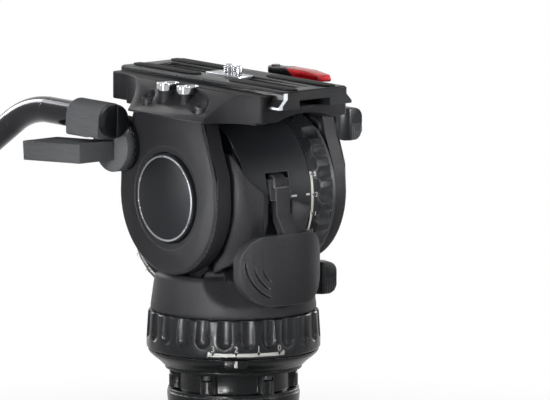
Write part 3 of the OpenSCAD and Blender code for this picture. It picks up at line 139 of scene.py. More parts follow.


@dataclass(frozen=True)
class Finish:
    """A real material and the way its surface was made.

    Attributes:
        name: Its common name and make.
        colour: Its colour as an sRGB hex value.
        shade: The colour of its darker specks.
        roughness: The middle of its roughness.
        grain: How its surface was made.
        grain_mm: Width of one grain.
        bump_mm: Height of the grain.
        edge_mm: Radius of its edges.
        edge_wear_and_highlight: The lighter colour of its edges, partly from rubbing and partly a painted highlight.
        edge_wear_and_highlight_share: How far that edge colour shows, from 0 to 1.
        spread: How far the roughness wanders.
        metallic: 1 for bare metal.
        ior: Index of refraction.
        specular: Strength of its gloss at a right angle.
        coat: Weight of a clear layer over it.
        transmission: Share of the light that goes through.
    """

    name: str
    colour: str
    shade: str
    roughness: float
    grain: Grain
    grain_mm: float
    bump_mm: float
    edge_mm: float = 0.3
    edge_wear_and_highlight: str = "#5a5b5d"
    edge_wear_and_highlight_share: float = 0.35
    spread: float = 0.06
    metallic: float = 0.0
    ior: float = 1.5
    specular: float = 0.5
    coat: float = 0.0
    transmission: float = 0.0

    def material(self) -> bpy.types.Material:
        """Builds the material once.

        Returns:
            The material, the same one on each later call.
        """
        found = bpy.data.materials.get(self.name)
        if found:
            return found
        made = bpy.data.materials.new(self.name)
        made.use_nodes = True
        tree = made.node_tree
        tree.nodes.clear()
        where = add(tree, "ShaderNodeTexCoord").outputs["Object"]
        grain = self.pattern(tree, where)
        drift = add(tree, "ShaderNodeTexNoise", None,
                    {"Vector": where, "Scale": 1 / (DRIFT_MM * MM), "Detail": 3.0, "Roughness": 0.6}).outputs["Fac"]
        rounded = add(tree, "ShaderNodeBevel", {"samples": 6}, {"Radius": self.edge_mm * MM}).outputs["Normal"]
        flat = add(tree, "ShaderNodeNewGeometry").outputs["Normal"]
        along = add(tree, "ShaderNodeVectorMath", {"operation": "DOT_PRODUCT"}, {0: rounded, 1: flat}).outputs["Value"]
        # The lighter colour mixed in along the rounded edges is partly rubbing and partly a painted highlight.
        wear_and_highlight_mask = add(tree, "ShaderNodeMapRange", None, {
            "Value": along, "From Min": WEAR_HIGHLIGHT_START, "From Max": WEAR_HIGHLIGHT_FULL,
            "To Min": 0.0, "To Max": self.edge_wear_and_highlight_share}).outputs["Result"]
        patchy_wear_and_highlight = add(tree, "ShaderNodeMath", {"operation": "MULTIPLY"}, {0: wear_and_highlight_mask, 1: drift}).outputs["Value"]
        speck = add(tree, "ShaderNodeMapRange", None, {
            "Value": grain, "From Min": LOW, "From Max": HIGH}).outputs["Result"]
        body = add(tree, "ShaderNodeMix", {"data_type": "RGBA"}, {
            0: speck, 6: linear(self.shade), 7: linear(self.colour)}).outputs[2]
        colour = add(tree, "ShaderNodeMix", {"data_type": "RGBA"}, {
            0: patchy_wear_and_highlight, 6: body, 7: linear(self.edge_wear_and_highlight)}).outputs[2]
        rough = add(tree, "ShaderNodeMapRange", None, {
            "Value": drift, "From Min": LOW, "From Max": HIGH,
            "To Min": self.roughness - self.spread, "To Max": self.roughness + self.spread}).outputs["Result"]
        bump = add(tree, "ShaderNodeBump", None, {
            "Strength": 1.0, "Distance": self.bump_mm * MM, "Height": grain, "Normal": rounded}).outputs["Normal"]
        shader = add(tree, "ShaderNodeBsdfPrincipled", None, {
            "Base Color": colour, "Roughness": rough, "Normal": bump, "Metallic": self.metallic, "IOR": self.ior,
            "Specular IOR Level": self.specular, "Coat Weight": self.coat, "Coat Roughness": 0.08,
            "Transmission Weight": self.transmission})
        add(tree, "ShaderNodeOutputMaterial", None, {"Surface": shader.outputs["BSDF"]})
        return made

    def pattern(self, tree: bpy.types.NodeTree, where: bpy.types.NodeSocket) -> bpy.types.NodeSocket:
        """Adds the height pattern of the grain.

        Args:
            tree: The material's node tree.
            where: Object coordinates.

        Returns:
            The height, from 0 to 1.
        """
        scale = 1 / (self.grain_mm * MM)
        if self.grain is Grain.MOULDED:
            return add(tree, "ShaderNodeTexVoronoi", {"feature": "SMOOTH_F1"},
                       {"Vector": where, "Scale": scale, "Smoothness": 0.6}).outputs["Distance"]
        if self.grain in STRETCH:
            drawn = add(tree, "ShaderNodeMapping", None, {"Vector": where, "Scale": STRETCH[self.grain]})
            where = drawn.outputs["Vector"]
        return add(tree, "ShaderNodeTexNoise", None, {
            "Vector": where, "Scale": scale, "Detail": 2.0, "Roughness": 0.6}).outputs["Fac"]


# The edge colours and shares below paint the lighter edges: partly rubbing, partly painted highlight.
# Cast aluminium under a fine powder coat: a dull charcoal with tiny pebbles, drawn 0.6 mm wide so that they show.
CAST_CHARCOAL = Finish("powder_coated_cast_aluminium", "#272729", "#161618", 0.46, Grain.COATED, 0.6, 0.08,
                       edge_mm=0.5, edge_wear_and_highlight="#98999c", edge_wear_and_highlight_share=0.9, specular=0.06)
# The turret's casting under the same coat, with broad cast radii in place of edges.
CAST_TURRET = Finish("powder_coated_turret_casting", "#2b2b2d", "#19191b", 0.44, Grain.COATED, 0.6, 0.08,
                     edge_mm=2.4, edge_wear_and_highlight_share=0.0, specular=0.09)
# Aluminium under a smooth satin lacquer: nearly black, with a soft even sheen.
SATIN_BLACK = Finish("satin_lacquered_aluminium", "#191a1c", "#131416", 0.4, Grain.COATED, 0.4, 0.015,
                     edge_mm=0.4, edge_wear_and_highlight="#88898c", edge_wear_and_highlight_share=0.7, specular=0.06)
# Aluminium, turned, polished and anodised black: a deep black with narrow highlights.
GLOSS_BLACK = Finish("polished_black_anodise", "#0c0d0e", "#090a0b", 0.26, Grain.TURNED, 0.4, 0.004,
                     edge_mm=0.4, edge_wear_and_highlight="#88898c", edge_wear_and_highlight_share=0.6, specular=0.14)
# Glass-filled nylon from a polished mould: black, with a slight orange peel and a clean gloss.
RING_NYLON = Finish("moulded_glass_filled_nylon", "#151618", "#0f1012", 0.3, Grain.MOULDED, 0.9, 0.012,
                    edge_mm=0.45, edge_wear_and_highlight="#8a8b8e", edge_wear_and_highlight_share=0.8, specular=0.15)
# Screen-printed ink: a flat off-white that covers unevenly.
PRINT_WHITE = Finish("screen_printed_white_ink", "#8c8c89", "#848481", 0.6, Grain.PRINTED, 0.5, 0.004,
                     edge_mm=0.05, edge_wear_and_highlight="#a9a9a5", edge_wear_and_highlight_share=0.2, specular=0.2)
# Free-cutting steel from a lathe: bright, with fine turning lines.
TURNED_STEEL = Finish("turned_steel", "#a6a8ab", "#8c8f93", 0.28, Grain.TURNED, 0.35, 0.004,
                      edge_mm=0.25, edge_wear_and_highlight="#c8cacc", metallic=1.0)
# Alloy steel with a black oxide: cap screws that hardly catch the light.
BLACK_OXIDE = Finish("black_oxide_steel", "#2a2a2c", "#212123", 0.34, Grain.TURNED, 0.35, 0.004,
                     edge_mm=0.25, edge_wear_and_highlight="#8d8e90", edge_wear_and_highlight_share=0.5, specular=0.2)
# Chromium over polished brass: a mirror with hardly any haze.
CHROME = Finish("polished_chrome_plate", "#b0b2b5", "#a6a8ab", 0.12, Grain.COATED, 2.0, 0.002,
                edge_mm=0.3, edge_wear_and_highlight="#e4e6e8", spread=0.03, metallic=1.0)
# Machined aluminium of the drag cartridges, left bare.
BARE_ALUMINIUM = Finish("machined_aluminium", "#8d8f92", "#7f8285", 0.34, Grain.TURNED, 0.4, 0.005,
                        edge_wear_and_highlight="#b9bbbe", metallic=1.0)
# Aluminium plate, milled and then hard anodised: charcoal with a low gloss, and a lighter colour along its rounded rim
# that is partly rubbing and partly a painted highlight.
MILLED_PLATE = Finish("hard_anodised_milled_plate", "#1f2022", "#18191b", 0.34, Grain.BRUSHED, 0.5, 0.012,
                      edge_mm=0.5, edge_wear_and_highlight="#8b8c8f", edge_wear_and_highlight_share=0.5, specular=0.1)
# Sintered bronze of the plain bearings, porous and oily.
BRONZE = Finish("sintered_bronze", "#8a6d3b", "#6f5629", 0.38, Grain.COATED, 0.5, 0.01,
                edge_wear_and_highlight="#b8975a", metallic=1.0)
# Pressed friction lining: brown grey fibre and resin.
LINING = Finish("pressed_friction_lining", "#2f2c27", "#24211d", 0.8, Grain.COATED, 0.7, 0.05, specular=0.15)
# Natural rubber, pressed: matt black with a dusty grain.
RUBBER = Finish("pressed_rubber", "#1d1d1e", "#151516", 0.7, Grain.MOULDED, 0.7, 0.03,
                edge_mm=0.3, edge_wear_and_highlight="#3c3c3e", specular=0.07)
# ABS from a polished mould: glossy signal red.
RED_ABS = Finish("gloss_red_abs", "#c40e19", "#b60b15", 0.16, Grain.MOULDED, 3.0, 0.004,
                 edge_mm=0.4, edge_wear_and_highlight="#e2525a", spread=0.03, specular=0.25)
# Aluminium, bead blasted and anodised grey: a silky sheen that goes from light to dark with the light.
GREY_ANODISE = Finish("grey_anodised_aluminium", "#58595b", "#4f5052", 0.34, Grain.BRUSHED, 0.5, 0.006,
                      edge_mm=0.4, edge_wear_and_highlight="#d6d6d8", edge_wear_and_highlight_share=0.9, specular=0.0)
# Drawn tube with a polished dark anodise: long mirror streaks.
DARK_TUBE = Finish("drawn_dark_anodised_tube", "#343437", "#2e2e31", 0.14, Grain.BRUSHED, 1.0, 0.002,
                   edge_wear_and_highlight="#77777a", spread=0.03, metallic=1.0)
# Cast acrylic round a tinted spirit.
VIAL = Finish("tinted_acrylic_vial", "#c2d94a", "#b9d23c", 0.06, Grain.MOULDED, 4.0, 0.001,
              edge_wear_and_highlight="#dbe98c", spread=0.02, ior=1.49, transmission=0.55)

SLOT_FINISH = {
    "black_satin": SATIN_BLACK, "charcoal": CAST_CHARCOAL, "ring_black": RING_NYLON, "white_print": PRINT_WHITE,
    "steel": TURNED_STEEL, "cartridge_grey": BARE_ALUMINIUM, "bronze": BRONZE, "friction": LINING,
    "rubber": RUBBER, "red_lever": RED_ABS, "bar_grey": GREY_ANODISE, "vial": VIAL}


def lathe(profile: Iterable[tuple[float, float]], place: Matrix, steps: int = 96) -> bmesh.types.BMesh:
    """Turns a profile round the Z axis and puts it in place.

    Args:
        profile: Radius and height of each point, in millimetres.
        place: Where it goes, with millimetres as its unit of length.
        steps: Count of steps round the axis.

    Returns:
        The closed mesh, in metres.
    """
    bm = bmesh.new()
    points = [bm.verts.new((r, 0.0, h)) for r, h in profile]
    for a, b in zip(points, points[1:]):
        bm.edges.new((a, b))
    bmesh.ops.spin(bm, geom=bm.verts[:] + bm.edges[:], cent=(0, 0, 0), axis=(0, 0, 1), angle=math.tau,
                   steps=steps, use_merge=True)
    return settle(bm, place)


def settle(bm: bmesh.types.BMesh, place: Matrix) -> bmesh.types.BMesh:
    """Merges doubles, turns the faces outwards and goes from millimetres to a place in metres.

    Args:
        bm: The mesh, in millimetres.
        place: Where it goes.

    Returns:
        The same mesh.
    """
    bmesh.ops.remove_doubles(bm, verts=bm.verts, dist=1e-4)
    bmesh.ops.recalc_face_normals(bm, faces=bm.faces)
    bmesh.ops.transform(bm, matrix=Matrix.Scale(MM, 4) @ place, verts=bm.verts)
    return bm


def bevel(bm: bmesh.types.BMesh, edges: Sequence[bmesh.types.BMEdge], offset: float, segments: int,
          clamp: bool = True) -> None:
    """Cuts edges back by a length and rounds them, and with clamp stops where they would meet."""
    bmesh.ops.bevel(bm, geom=edges, offset=offset, offset_type="OFFSET", segments=segments, profile=0.5,
                    affect="EDGES", clamp_overlap=clamp, material=-1)


def cut_away(bm: bmesh.types.BMesh, point: Sequence[float], normal: Sequence[float], keep_far: bool) -> None:
    """Cuts a mesh along a plane, clears one side and closes the cut.

    Args:
        bm: The mesh, in metres.
        point: A point of the plane, in millimetres.
        normal: The plane's normal.
        keep_far: Whether the side that the normal points to is the one that stays.
    """
    cut = bmesh.ops.bisect_plane(bm, geom=bm.verts[:] + bm.edges[:] + bm.faces[:], dist=1e-7,
                                 plane_co=Vector(point) * MM, plane_no=normal,
                                 clear_inner=keep_far, clear_outer=not keep_far)
    bmesh.ops.holes_fill(bm, edges=[e for e in cut["geom_cut"] if isinstance(e, bmesh.types.BMEdge)])
    bmesh.ops.recalc_face_normals(bm, faces=bm.faces)


def block(low: Sequence[float], high: Sequence[float], round_mm: float, place: Matrix) -> bmesh.types.BMesh:
    """Makes a box with rounded edges.

    Args:
        low: Its lowest corner, in millimetres.
        high: Its highest corner.
        round_mm: Radius of its edges.
        place: Where it goes.

    Returns:
        The mesh, in metres.
    """
    bm = bmesh.new()
    size = [b - a for a, b in zip(low, high)]
    centre = [(a + b) / 2 for a, b in zip(low, high)]
    bmesh.ops.create_cube(bm, size=1, matrix=Matrix.Translation(centre) @ Matrix.Diagonal((*size, 1)))
    bevel(bm, bm.edges[:], round_mm, 2)
    return settle(bm, place)


def prism(outline: Sequence[tuple[float, float]], height: float, round_mm: float, place: Matrix) -> bmesh.types.BMesh:
    """Extrudes an outline along Z and rounds the upper rim.

    Args:
        outline: Its corners, in millimetres.
        height: How far it goes up.
        round_mm: Radius of the upper rim, 0 for none.
        place: Where it goes.

    Returns:
        The mesh, in metres.
    """
    bm = bmesh.new()
    face = bm.faces.new([bm.verts.new((x, y, 0.0)) for x, y in outline])
    grown = bmesh.ops.extrude_face_region(bm, geom=[face])["geom"]
    bmesh.ops.translate(bm, vec=(0, 0, height), verts=[g for g in grown if isinstance(g, bmesh.types.BMVert)])
    if round_mm:
        rim = [e for e in bm.edges if all(v.co.z > height / 2 for v in e.verts)]
        bevel(bm, rim, round_mm, 3)
    return settle(bm, place)


def numeral(digit: str, height: float, place: Matrix) -> bmesh.types.BMesh:
    """Makes a digit as a thin mesh.

    Args:
        digit: The digit.
        height: How tall it is, in millimetres.
        place: Frame of its middle: X to the right, Y up, Z out of the surface.

    Returns:
        The mesh, in metres.
    """
    curve = bpy.data.curves.new("digit", "FONT")
    curve.body = digit
    curve.resolution_u = 6
    curve.extrude = 0.02
    shape = bpy.data.objects.new("digit", curve)
    bpy.context.scene.collection.objects.link(shape)
    mesh = bpy.data.meshes.new_from_object(shape.evaluated_get(bpy.context.evaluated_depsgraph_get()))
    bpy.data.objects.remove(shape)
    bpy.data.curves.remove(curve)
    bm = bmesh.new()
    bm.from_mesh(mesh)
    bpy.data.meshes.remove(mesh)
    low = [min(v.co[k] for v in bm.verts) for k in range(2)]
    high = [max(v.co[k] for v in bm.verts) for k in range(2)]
    grow = height / (high[1] - low[1])
    middle = Vector(((low[0] + high[0]) / 2, (low[1] + high[1]) / 2, 0))
    resize = Matrix.Diagonal((grow, grow, 1.6, 1)) @ Matrix.Translation(-middle)
    bmesh.ops.transform(bm, matrix=resize, verts=bm.verts)
    return settle(bm, place)


def joined(parts: Sequence[bmesh.types.BMesh]) -> bmesh.types.BMesh:
    """Puts several meshes into one.

    Args:
        parts: The meshes, which are freed.

    Returns:
        One mesh.
    """
    whole = bmesh.new()
    for part in parts:
        mesh = bpy.data.meshes.new("part")
        part.to_mesh(mesh)
        part.free()
        whole.from_mesh(mesh)
        bpy.data.meshes.remove(mesh)
    return whole


def soft_min(a: float, b: float, blend: float) -> float:
    """Gives the lesser of two lengths, rounded off where they differ by less than a blend."""
    near = max(blend - abs(a - b), 0) / blend
    return min(a, b) - near * near * blend / 4


def smooth_step(x: float) -> float:
    """Goes smoothly from 0 to 1 as its value does."""
    x = min(max(x, 0.0), 1.0)
    return x * x * (3 - 2 * x)


def frame_of(origin: Sequence[float], right: Sequence[float], up: Sequence[float]) -> Matrix:
    """Makes a frame on a surface.

    Args:
        origin: Its place, in millimetres.
        right: Its X direction.
        up: Its Y direction.

    Returns:
        The frame, with Z out of the surface.
    """
    x, y = Vector(right).normalized(), Vector(up).normalized()
    z = x.cross(y)
    return Matrix.Translation(origin) @ Matrix((x, y, z)).transposed().to_4x4()


class SubAssembly:
    """What the sub-assemblies share: dressing CAD nodes and adding pieces that ride on a body."""

    def dress(self, *nodes: str, finish: Finish | None = None) -> None:
        """Gives CAD nodes a finish, or the one of their slot.

        Args:
            nodes: Names of the CAD nodes.
            finish: The finish, where it isn't the slot's own.
        """
        for node in nodes:
            item = frame["nodes"][node]
            item.data.materials.clear()
            item.data.materials.append((finish or SLOT_FINISH[SLOT_OF[node]]).material())
            LOG.info("dressed %s", node)

    def piece(self, name: str, bm: bmesh.types.BMesh, body: str, slot: str, finish: Finish | None = None,
              instead: Sequence[str] = (), crease: float = 32.0) -> None:
        """Makes an object of a mesh and lets it ride on a body.

        Args:
            name: Its name.
            bm: Its mesh, in metres, which is freed.
            body: The CAD body that it rides on.
            slot: The record's material slot.
            finish: Its finish, where it isn't the slot's own.
            instead: CAD nodes that it stands for.
            crease: Angle from which an edge stays sharp, in degrees.
        """
        mesh = bpy.data.meshes.new(name)
        bm.to_mesh(mesh)
        bm.free()
        mesh.polygons.foreach_set("use_smooth", [True] * len(mesh.polygons))
        mesh.set_sharp_from_angle(angle=math.radians(crease))
        mesh.materials.append((finish or SLOT_FINISH[slot]).material())
        item = bpy.data.objects.new(name, mesh)
        bpy.context.scene.collection.objects.link(item)
        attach(item, body)
        if instead:
            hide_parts(*instead)
        LOG.info("made %s on %s, %d faces", name, body, len(mesh.polygons))

    def soften(self, node: str, round_mm: float, finish: Finish | None = None, segments: int = 2) -> None:
        """Puts a copy of a CAD node in its place, with its sharp edges rounded and its own finish or another."""
        bm = self.rounded(node, round_mm, segments)
        self.piece(f"{node}_rounded", bm, BODY_OF[node], SLOT_OF[node], finish, (node,), 40.0)

    def rounded(self, node: str, round_mm: float, segments: int) -> bmesh.types.BMesh:
        """Copies a CAD node's mesh, merges it and rounds its sharp edges.

        Args:
            node: The CAD node.
            round_mm: How far each edge is cut back.
            segments: Count of faces across an edge.

        Returns:
            The mesh, in metres, held inside the node's box.
        """
        bm = bmesh.new()
        bm.from_mesh(frame["nodes"][node].data)
        bmesh.ops.remove_doubles(bm, verts=bm.verts, dist=MERGE_M)
        bmesh.ops.dissolve_limit(bm, angle_limit=FLAT, verts=bm.verts, edges=bm.edges)
        bmesh.ops.dissolve_degenerate(bm, dist=TINY_M, edges=bm.edges)
        sharp = [e for e in bm.edges if e.is_manifold and e.calc_face_angle(0) > SHARP]
        bevel(bm, sharp, round_mm * MM, segments, clamp=False)
        low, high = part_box(node)
        for v in bm.verts:
            v.co = [min(max(c, a), b) for c, a, b in zip(v.co, low, high)]
        return bm


@dataclass
class BowlBase(SubAssembly):
    """The half ball with its neck, the flange, and the clamp under the bowl.

    Attributes:
        index_angle: Direction of the index tab, in degrees.
        tab_r: Radius of the tab's face.
        line_low: Foot of the white index line.
        line_high: Top of it.
        line_w: Width of it.
        pad_r: Inner and outer radius of the claw's rubber pads.
        pad_z: Foot and top of those pads.
        pad_angle: How far round each pad goes, in degrees.
        pad_round: Radius of their edges.
    """

    index_angle: float = 232.8
    tab_r: float = 48.8
    line_low: float = 20.2
    line_high: float = 24.2
    line_w: float = 1.6
    pad_r: tuple[float, float] = (28.5, 32.5)
    pad_z: tuple[float, float] = (-33.0, -31.0)
    pad_angle: float = 40.0
    pad_round: float = 0.5

    def build(self) -> None:
        """Dresses the base and adds the index line and the pads."""
        self.dress("flange_screws", finish=BLACK_OXIDE)
        self.dress("pan_shaft", "pan_drag_cartridge", "pan_thrust_washer", "pan_brake_drum",
                   "rod_spring", "tie_rod", "claw_nut")
        self.soften("bowl_base", 0.5, GLOSS_BLACK)
        self.soften("base_flange", 0.35, GLOSS_BLACK)
        self.soften("bowl_claw", 0.8)
        self.index_line()
        self.rubber_pads()

    def index_line(self) -> None:
        """Prints the white line on the index tab."""
        turn = Matrix.Rotation(math.radians(self.index_angle), 4, "Z")
        line = block((self.tab_r - 0.3, -self.line_w / 2, self.line_low),
                     (self.tab_r + 0.08, self.line_w / 2, self.line_high), 0.05, turn)
        self.piece("pan_index_line", line, "base", "white_print")

    def rubber_pads(self) -> None:
        """Moulds the three pads that the claw presses against the bowl."""
        pads = []
        for i in range(3):
            bm = bmesh.new()
            corners = [(self.pad_r[a], 0.0, self.pad_z[b]) for a, b in ((0, 0), (1, 0), (1, 1), (0, 1))]
            face = bm.faces.new([bm.verts.new(c) for c in corners])
            bmesh.ops.spin(bm, geom=[face, *face.edges, *face.verts], cent=(0, 0, 0), axis=(0, 0, 1),
                           angle=math.radians(self.pad_angle), steps=14)
            bmesh.ops.recalc_face_normals(bm, faces=bm.faces)
            rim = [e for e in bm.edges if e.is_manifold and e.calc_face_angle(0) > SHARP]
            bevel(bm, rim, self.pad_round, 3)
            pads.append(settle(bm, Matrix.Rotation(math.radians(120 * i + 90), 4, "Z")))
        self.piece("claw_rubber_pads", joined(pads), "bowl_clamp", "rubber", instead=("claw_pads",))


@dataclass
class PanDrag(SubAssembly):
    """The fluted ring that sets the pan drag, with its printed scale.

    Attributes:
        ring_r: Radius of the ring's band.
        marks: Numerals and their directions, in degrees.
        digit_z: Height of the middle of the numerals.
        digit_h: How tall they are.
        arc_z: Foot and top of the white arc.
        arc_ends: Directions of the two upturned ends, in degrees.
        end_w: Width of those ends.
        end_rise: How far they rise above the arc.
    """

    ring_r: float = 49.1
    marks: tuple[tuple[str, float], ...] = (("3", 217.5), ("2", 232.9), ("1", 248.0), ("0", 262.9))
    digit_z: float = 30.9
    digit_h: float = 3.4
    arc_z: tuple[float, float] = (26.4, 28.4)
    arc_ends: tuple[float, float] = (214.7, 266.1)
    end_w: float = 1.2
    end_rise: float = 0.9

    def on_ring(self, degrees: float, height: float, out: float = 0.0) -> Matrix:
        """Gives a frame on the ring's band.

        Args:
            degrees: Its direction.
            height: Its height.
            out: How far it stands out of the band.

        Returns:
            The frame.
        """
        a = math.radians(degrees)
        away = Vector((math.cos(a), math.sin(a), 0))
        return frame_of(away * (self.ring_r + out) + Vector((0, 0, height)), (-away.y, away.x, 0), (0, 0, 1))

    def build(self) -> None:
        """Dresses the ring and prints its scale."""
        self.soften("pan_drag_ring", 0.35)
        self.dress("pan_scale_band")
        digits = [numeral(d, self.digit_h, self.on_ring(a, self.digit_z, 0.03)) for d, a in self.marks]
        self.piece("pan_numerals", joined(digits), "pan_ring", "white_print")
        low, high = self.arc_z
        middle, half, wide = (low + high) / 2, (high - low) / 2, self.end_w / 2
        ends = [block((-wide, -half, -0.3), (wide, half + self.end_rise, 0.04), 0.04, self.on_ring(a, middle))
                for a in self.arc_ends]
        self.piece("pan_scale_ends", joined(ends), "pan_ring", "white_print")
        arrow = ((-1.15, 0.9), (0.0, -1.5), (1.15, 0.9))
        arrows = [prism(arrow, 0.2, 0.0, self.on_ring(a, middle + 0.6, -0.12)) for _, a in self.marks]
        self.piece("pan_scale_arrows", joined(arrows), "pan_ring", "ring_black")


@dataclass
class Turret(SubAssembly):
    """The housing that turns on the base, with the drum, the brake and the bubble level.

    Attributes:
        drum_r: Radius of the drum.
        axis_z: Height of the tilt axis.
        tick_z: Height of the white ticks on the drum.
        ticks: Left and right end of each tick.
        tick_h: How tall the ticks are.
        vial: Place of the bubble level's foot.
        vial_r: Radius of it.
        front_r: Radius of the housing round the tilt axis.
        side_x: Distance of the housing's left face from the pan axis.
        corner_x: How far left the flank reaches.
        waist_r: Radius of the waist above the skirt.
        waist_z: Height of the waist.
        flare_r: Radius of the housing's flare from the waist up to the tilt axis.
        swell: How far the flank leans out from the waist, as a slope.
        swell_start: Height over which that slope sets in.
        blends: Lengths over which the flank passes into its front, its swell and its limit beside the arm.
        flank_turn: First and last direction of the flank, in degrees.
        flank_fade: How far from each of them it meets the housing, in degrees.
        flank_lead: How far its start moves on, in degrees, from which height, and over how much height.
        flank_foot: Lowest and highest height of its lip.
        flank_slope: How fast the lip rises, per degree.
        flank_inset: How far inside the housing's left face it starts.
        flank_proud: How far it stands out where it meets the housing, so that the two don't share a surface.
        side_limit: How far left it may reach beside the arm.
        flank_top: Height of its top, left of the curved upper edge.
        arc: Place across and height of the middle of that curved edge.
        arc_r: Radius of it.
        scoop: Direction, in degrees, and height of the middle of the finger scoop.
        scoop_reach: How far it reaches, in degrees and upwards.
        scoop_depth: How deep it is.
        scoop_floor: The nearest that it comes to the pan axis.
        scoop_edge: Where it ends, across and forwards.
        score_turn: Directions between which the housing's faces are cut up for the scoop, in degrees.
        score_z: Heights between which they are cut up.
        score_step: Step between the cuts, in degrees and in height.
        score_edge: How far beyond the scoop faces are cut: across, forwards, below and above.
        facing: Least share of an outer face's normal that points away from the pan axis.
    """

    drum_r: float = 46.2
    axis_z: float = 114.0
    tick_z: float = 115.6
    ticks: tuple[tuple[float, float], ...] = ((4.6, 8.6), (15.4, 18.0))
    tick_h: float = 1.1
    vial: tuple[float, float, float] = (0.0, 36.0, 64.4)
    vial_r: float = 7.4
    front_r: float = 47.0
    side_x: float = 31.0
    corner_x: float = 34.5
    waist_r: float = 44.3
    waist_z: float = 77.4
    flare_r: float = 74.0
    swell: float = 0.7
    swell_start: float = 8.0
    blends: tuple[float, float, float] = (18.0, 9.0, 2.0)
    flank_turn: tuple[float, float] = (213.0, 252.0)
    flank_fade: tuple[float, float] = (5.0, 10.0)
    flank_lead: tuple[float, float, float] = (9.0, 76.0, 12.0)
    flank_foot: tuple[float, float] = (72.0, 84.0)
    flank_slope: float = 0.38
    flank_inset: float = 0.15
    flank_proud: float = 0.03
    side_limit: float = 35.3
    flank_top: float = 141.0
    arc: tuple[float, float] = (-1.0, 146.4)
    arc_r: float = 30.4
    scoop: tuple[float, float] = (238.0, 69.5)
    scoop_reach: tuple[float, float] = (30.0, 16.0)
    scoop_depth: float = 14.0
    scoop_floor: float = 31.0
    scoop_edge: tuple[float, float] = (-4.0, -6.0)
    score_turn: tuple[int, int] = (204, 270)
    score_z: tuple[int, int] = (50, 84)
    score_step: int = 2
    score_edge: tuple[float, float, float, float] = (6.0, 10.0, 2.0, 6.0)
    facing: float = 0.15

    def build(self) -> None:
        """Dresses the turret, prints the drum's ticks and fills the bubble level."""
        self.dress("tilt_drum", "pan_bush", "pan_drag_rotor", "tilt_bushes", "tilt_drag_cartridge",
                   "counterbalance_spring", "release_pins", "pan_brake_shoe", "release_rocker")
        self.dress("brake_disc", finish=BLACK_OXIDE)
        self.casting()
        self.soften("bubble_bezel", 0.3)
        self.soften("pan_brake_wing", 0.3)
        self.drum_ticks()
        self.bubble()

    def casting(self) -> None:
        """Rounds the housing, presses the finger scoop in beside the paddle and lays the flank over the drum's end."""
        bm = self.rounded("turret_body", 0.35, 2)
        for degrees in range(*self.score_turn, self.score_step):
            a = math.radians(degrees)
            self.score(bm, (0, 0, 0), (-math.sin(a), math.cos(a), 0))
        for height in range(*self.score_z, self.score_step):
            self.score(bm, (0, 0, height), (0, 0, 1))
        for v in bm.verts:
            x, y, z = v.co / MM
            if x < self.scoop_edge[0] and y < self.scoop_edge[1] and self.faces_out(v.normal, x, y):
                far = math.hypot(x, y)
                pressed = far - self.sunk(math.degrees(math.atan2(y, x)) % 360, z)
                kept = max(pressed, min(far, self.scoop_floor)) / far
                v.co *= Vector((kept, kept, 1))
        self.piece("turret_casting", bm, "turret", "charcoal", CAST_TURRET, ("turret_body",), 50.0)
        self.flank()

    def faces_out(self, normal: Vector, x: float, y: float) -> bool:
        """Tells whether a normal at a place points away from the pan axis."""
        return normal.dot(Vector((x, y, 0)).normalized()) > self.facing

    def score(self, bm: bmesh.types.BMesh, point: Sequence[float], normal: Sequence[float]) -> None:
        """Cuts the outer faces of the housing's left front along a plane, so that they can be shaped.

        Args:
            bm: The housing.
            point: A point of the plane, in millimetres.
            normal: The plane's normal.
        """
        across, forwards, below, above = self.score_edge
        far_x, far_y = self.scoop_edge[0] + across, self.scoop_edge[1] + forwards
        low, high = self.score_z[0] - below, self.score_z[1] + above
        faces = []
        for f in bm.faces:
            x, y, z = f.calc_center_median() / MM
            if x < far_x and y < far_y and low < z < high and self.faces_out(f.normal, x, y):
                faces.append(f)
        geom = set(faces) | {e for f in faces for e in f.edges} | {v for f in faces for v in f.verts}
        bmesh.ops.bisect_plane(bm, geom=list(geom), dist=1e-6, plane_co=Vector(point) * MM, plane_no=normal)

    def sunk(self, turn: float, z: float) -> float:
        """Gives the scoop's depth at a direction, in degrees, and a height."""
        off = math.hypot((turn - self.scoop[0]) / self.scoop_reach[0], (z - self.scoop[1]) / self.scoop_reach[1])
        return self.scoop_depth * max(1 - off * off, 0)

    def flank_r(self, turn: float, z: float) -> float:
        """Gives the flank's distance from the pan axis.

        Args:
            turn: Direction round the pan axis, in degrees.
            z: Height.

        Returns:
            The distance, which meets the housing's own at both ends of the flank.
        """
        cosine, sine = abs(math.cos(math.radians(turn))), abs(math.sin(math.radians(turn)))
        up = max(z - self.waist_z, 0)
        front = math.sqrt(self.front_r ** 2 - max(z - self.axis_z, 0) ** 2) / sine
        swell = self.waist_r + self.swell * up * up / (up + self.swell_start)
        goal = soft_min(self.corner_x / cosine, front, self.blends[0])
        goal = soft_min(goal, swell, self.blends[1])
        goal = soft_min(goal, self.side_limit / cosine, self.blends[2])
        rise = min(up, self.axis_z - self.waist_z)
        flare = self.waist_r + self.flare_r - math.sqrt(self.flare_r ** 2 - rise ** 2)
        left, right = (self.side_x - self.flank_inset) / cosine, min(front, flare)
        first, last = self.flank_turn
        lead, lead_z, lead_rise = self.flank_lead
        first += lead * smooth_step((z - lead_z) / lead_rise)
        goal = left + (goal - left) * smooth_step((turn - first) / self.flank_fade[0])
        return right + (goal - right) * smooth_step((last - turn) / self.flank_fade[1]) + self.flank_proud

    def crest(self, turn: float) -> float:
        """Gives the height of the flank's upper edge.

        Args:
            turn: Direction round the pan axis, in degrees.

        Returns:
            The height, found step by step because the edge's place across depends on it.
        """
        high = self.flank_top
        for _ in range(6):
            x = self.flank_r(turn, high) * math.cos(math.radians(turn)) - self.arc[0]
            inside = self.arc_r ** 2 - x * x
            high = min(self.flank_top, self.arc[1] - math.sqrt(inside)) if inside > 0 else self.flank_top
        return high

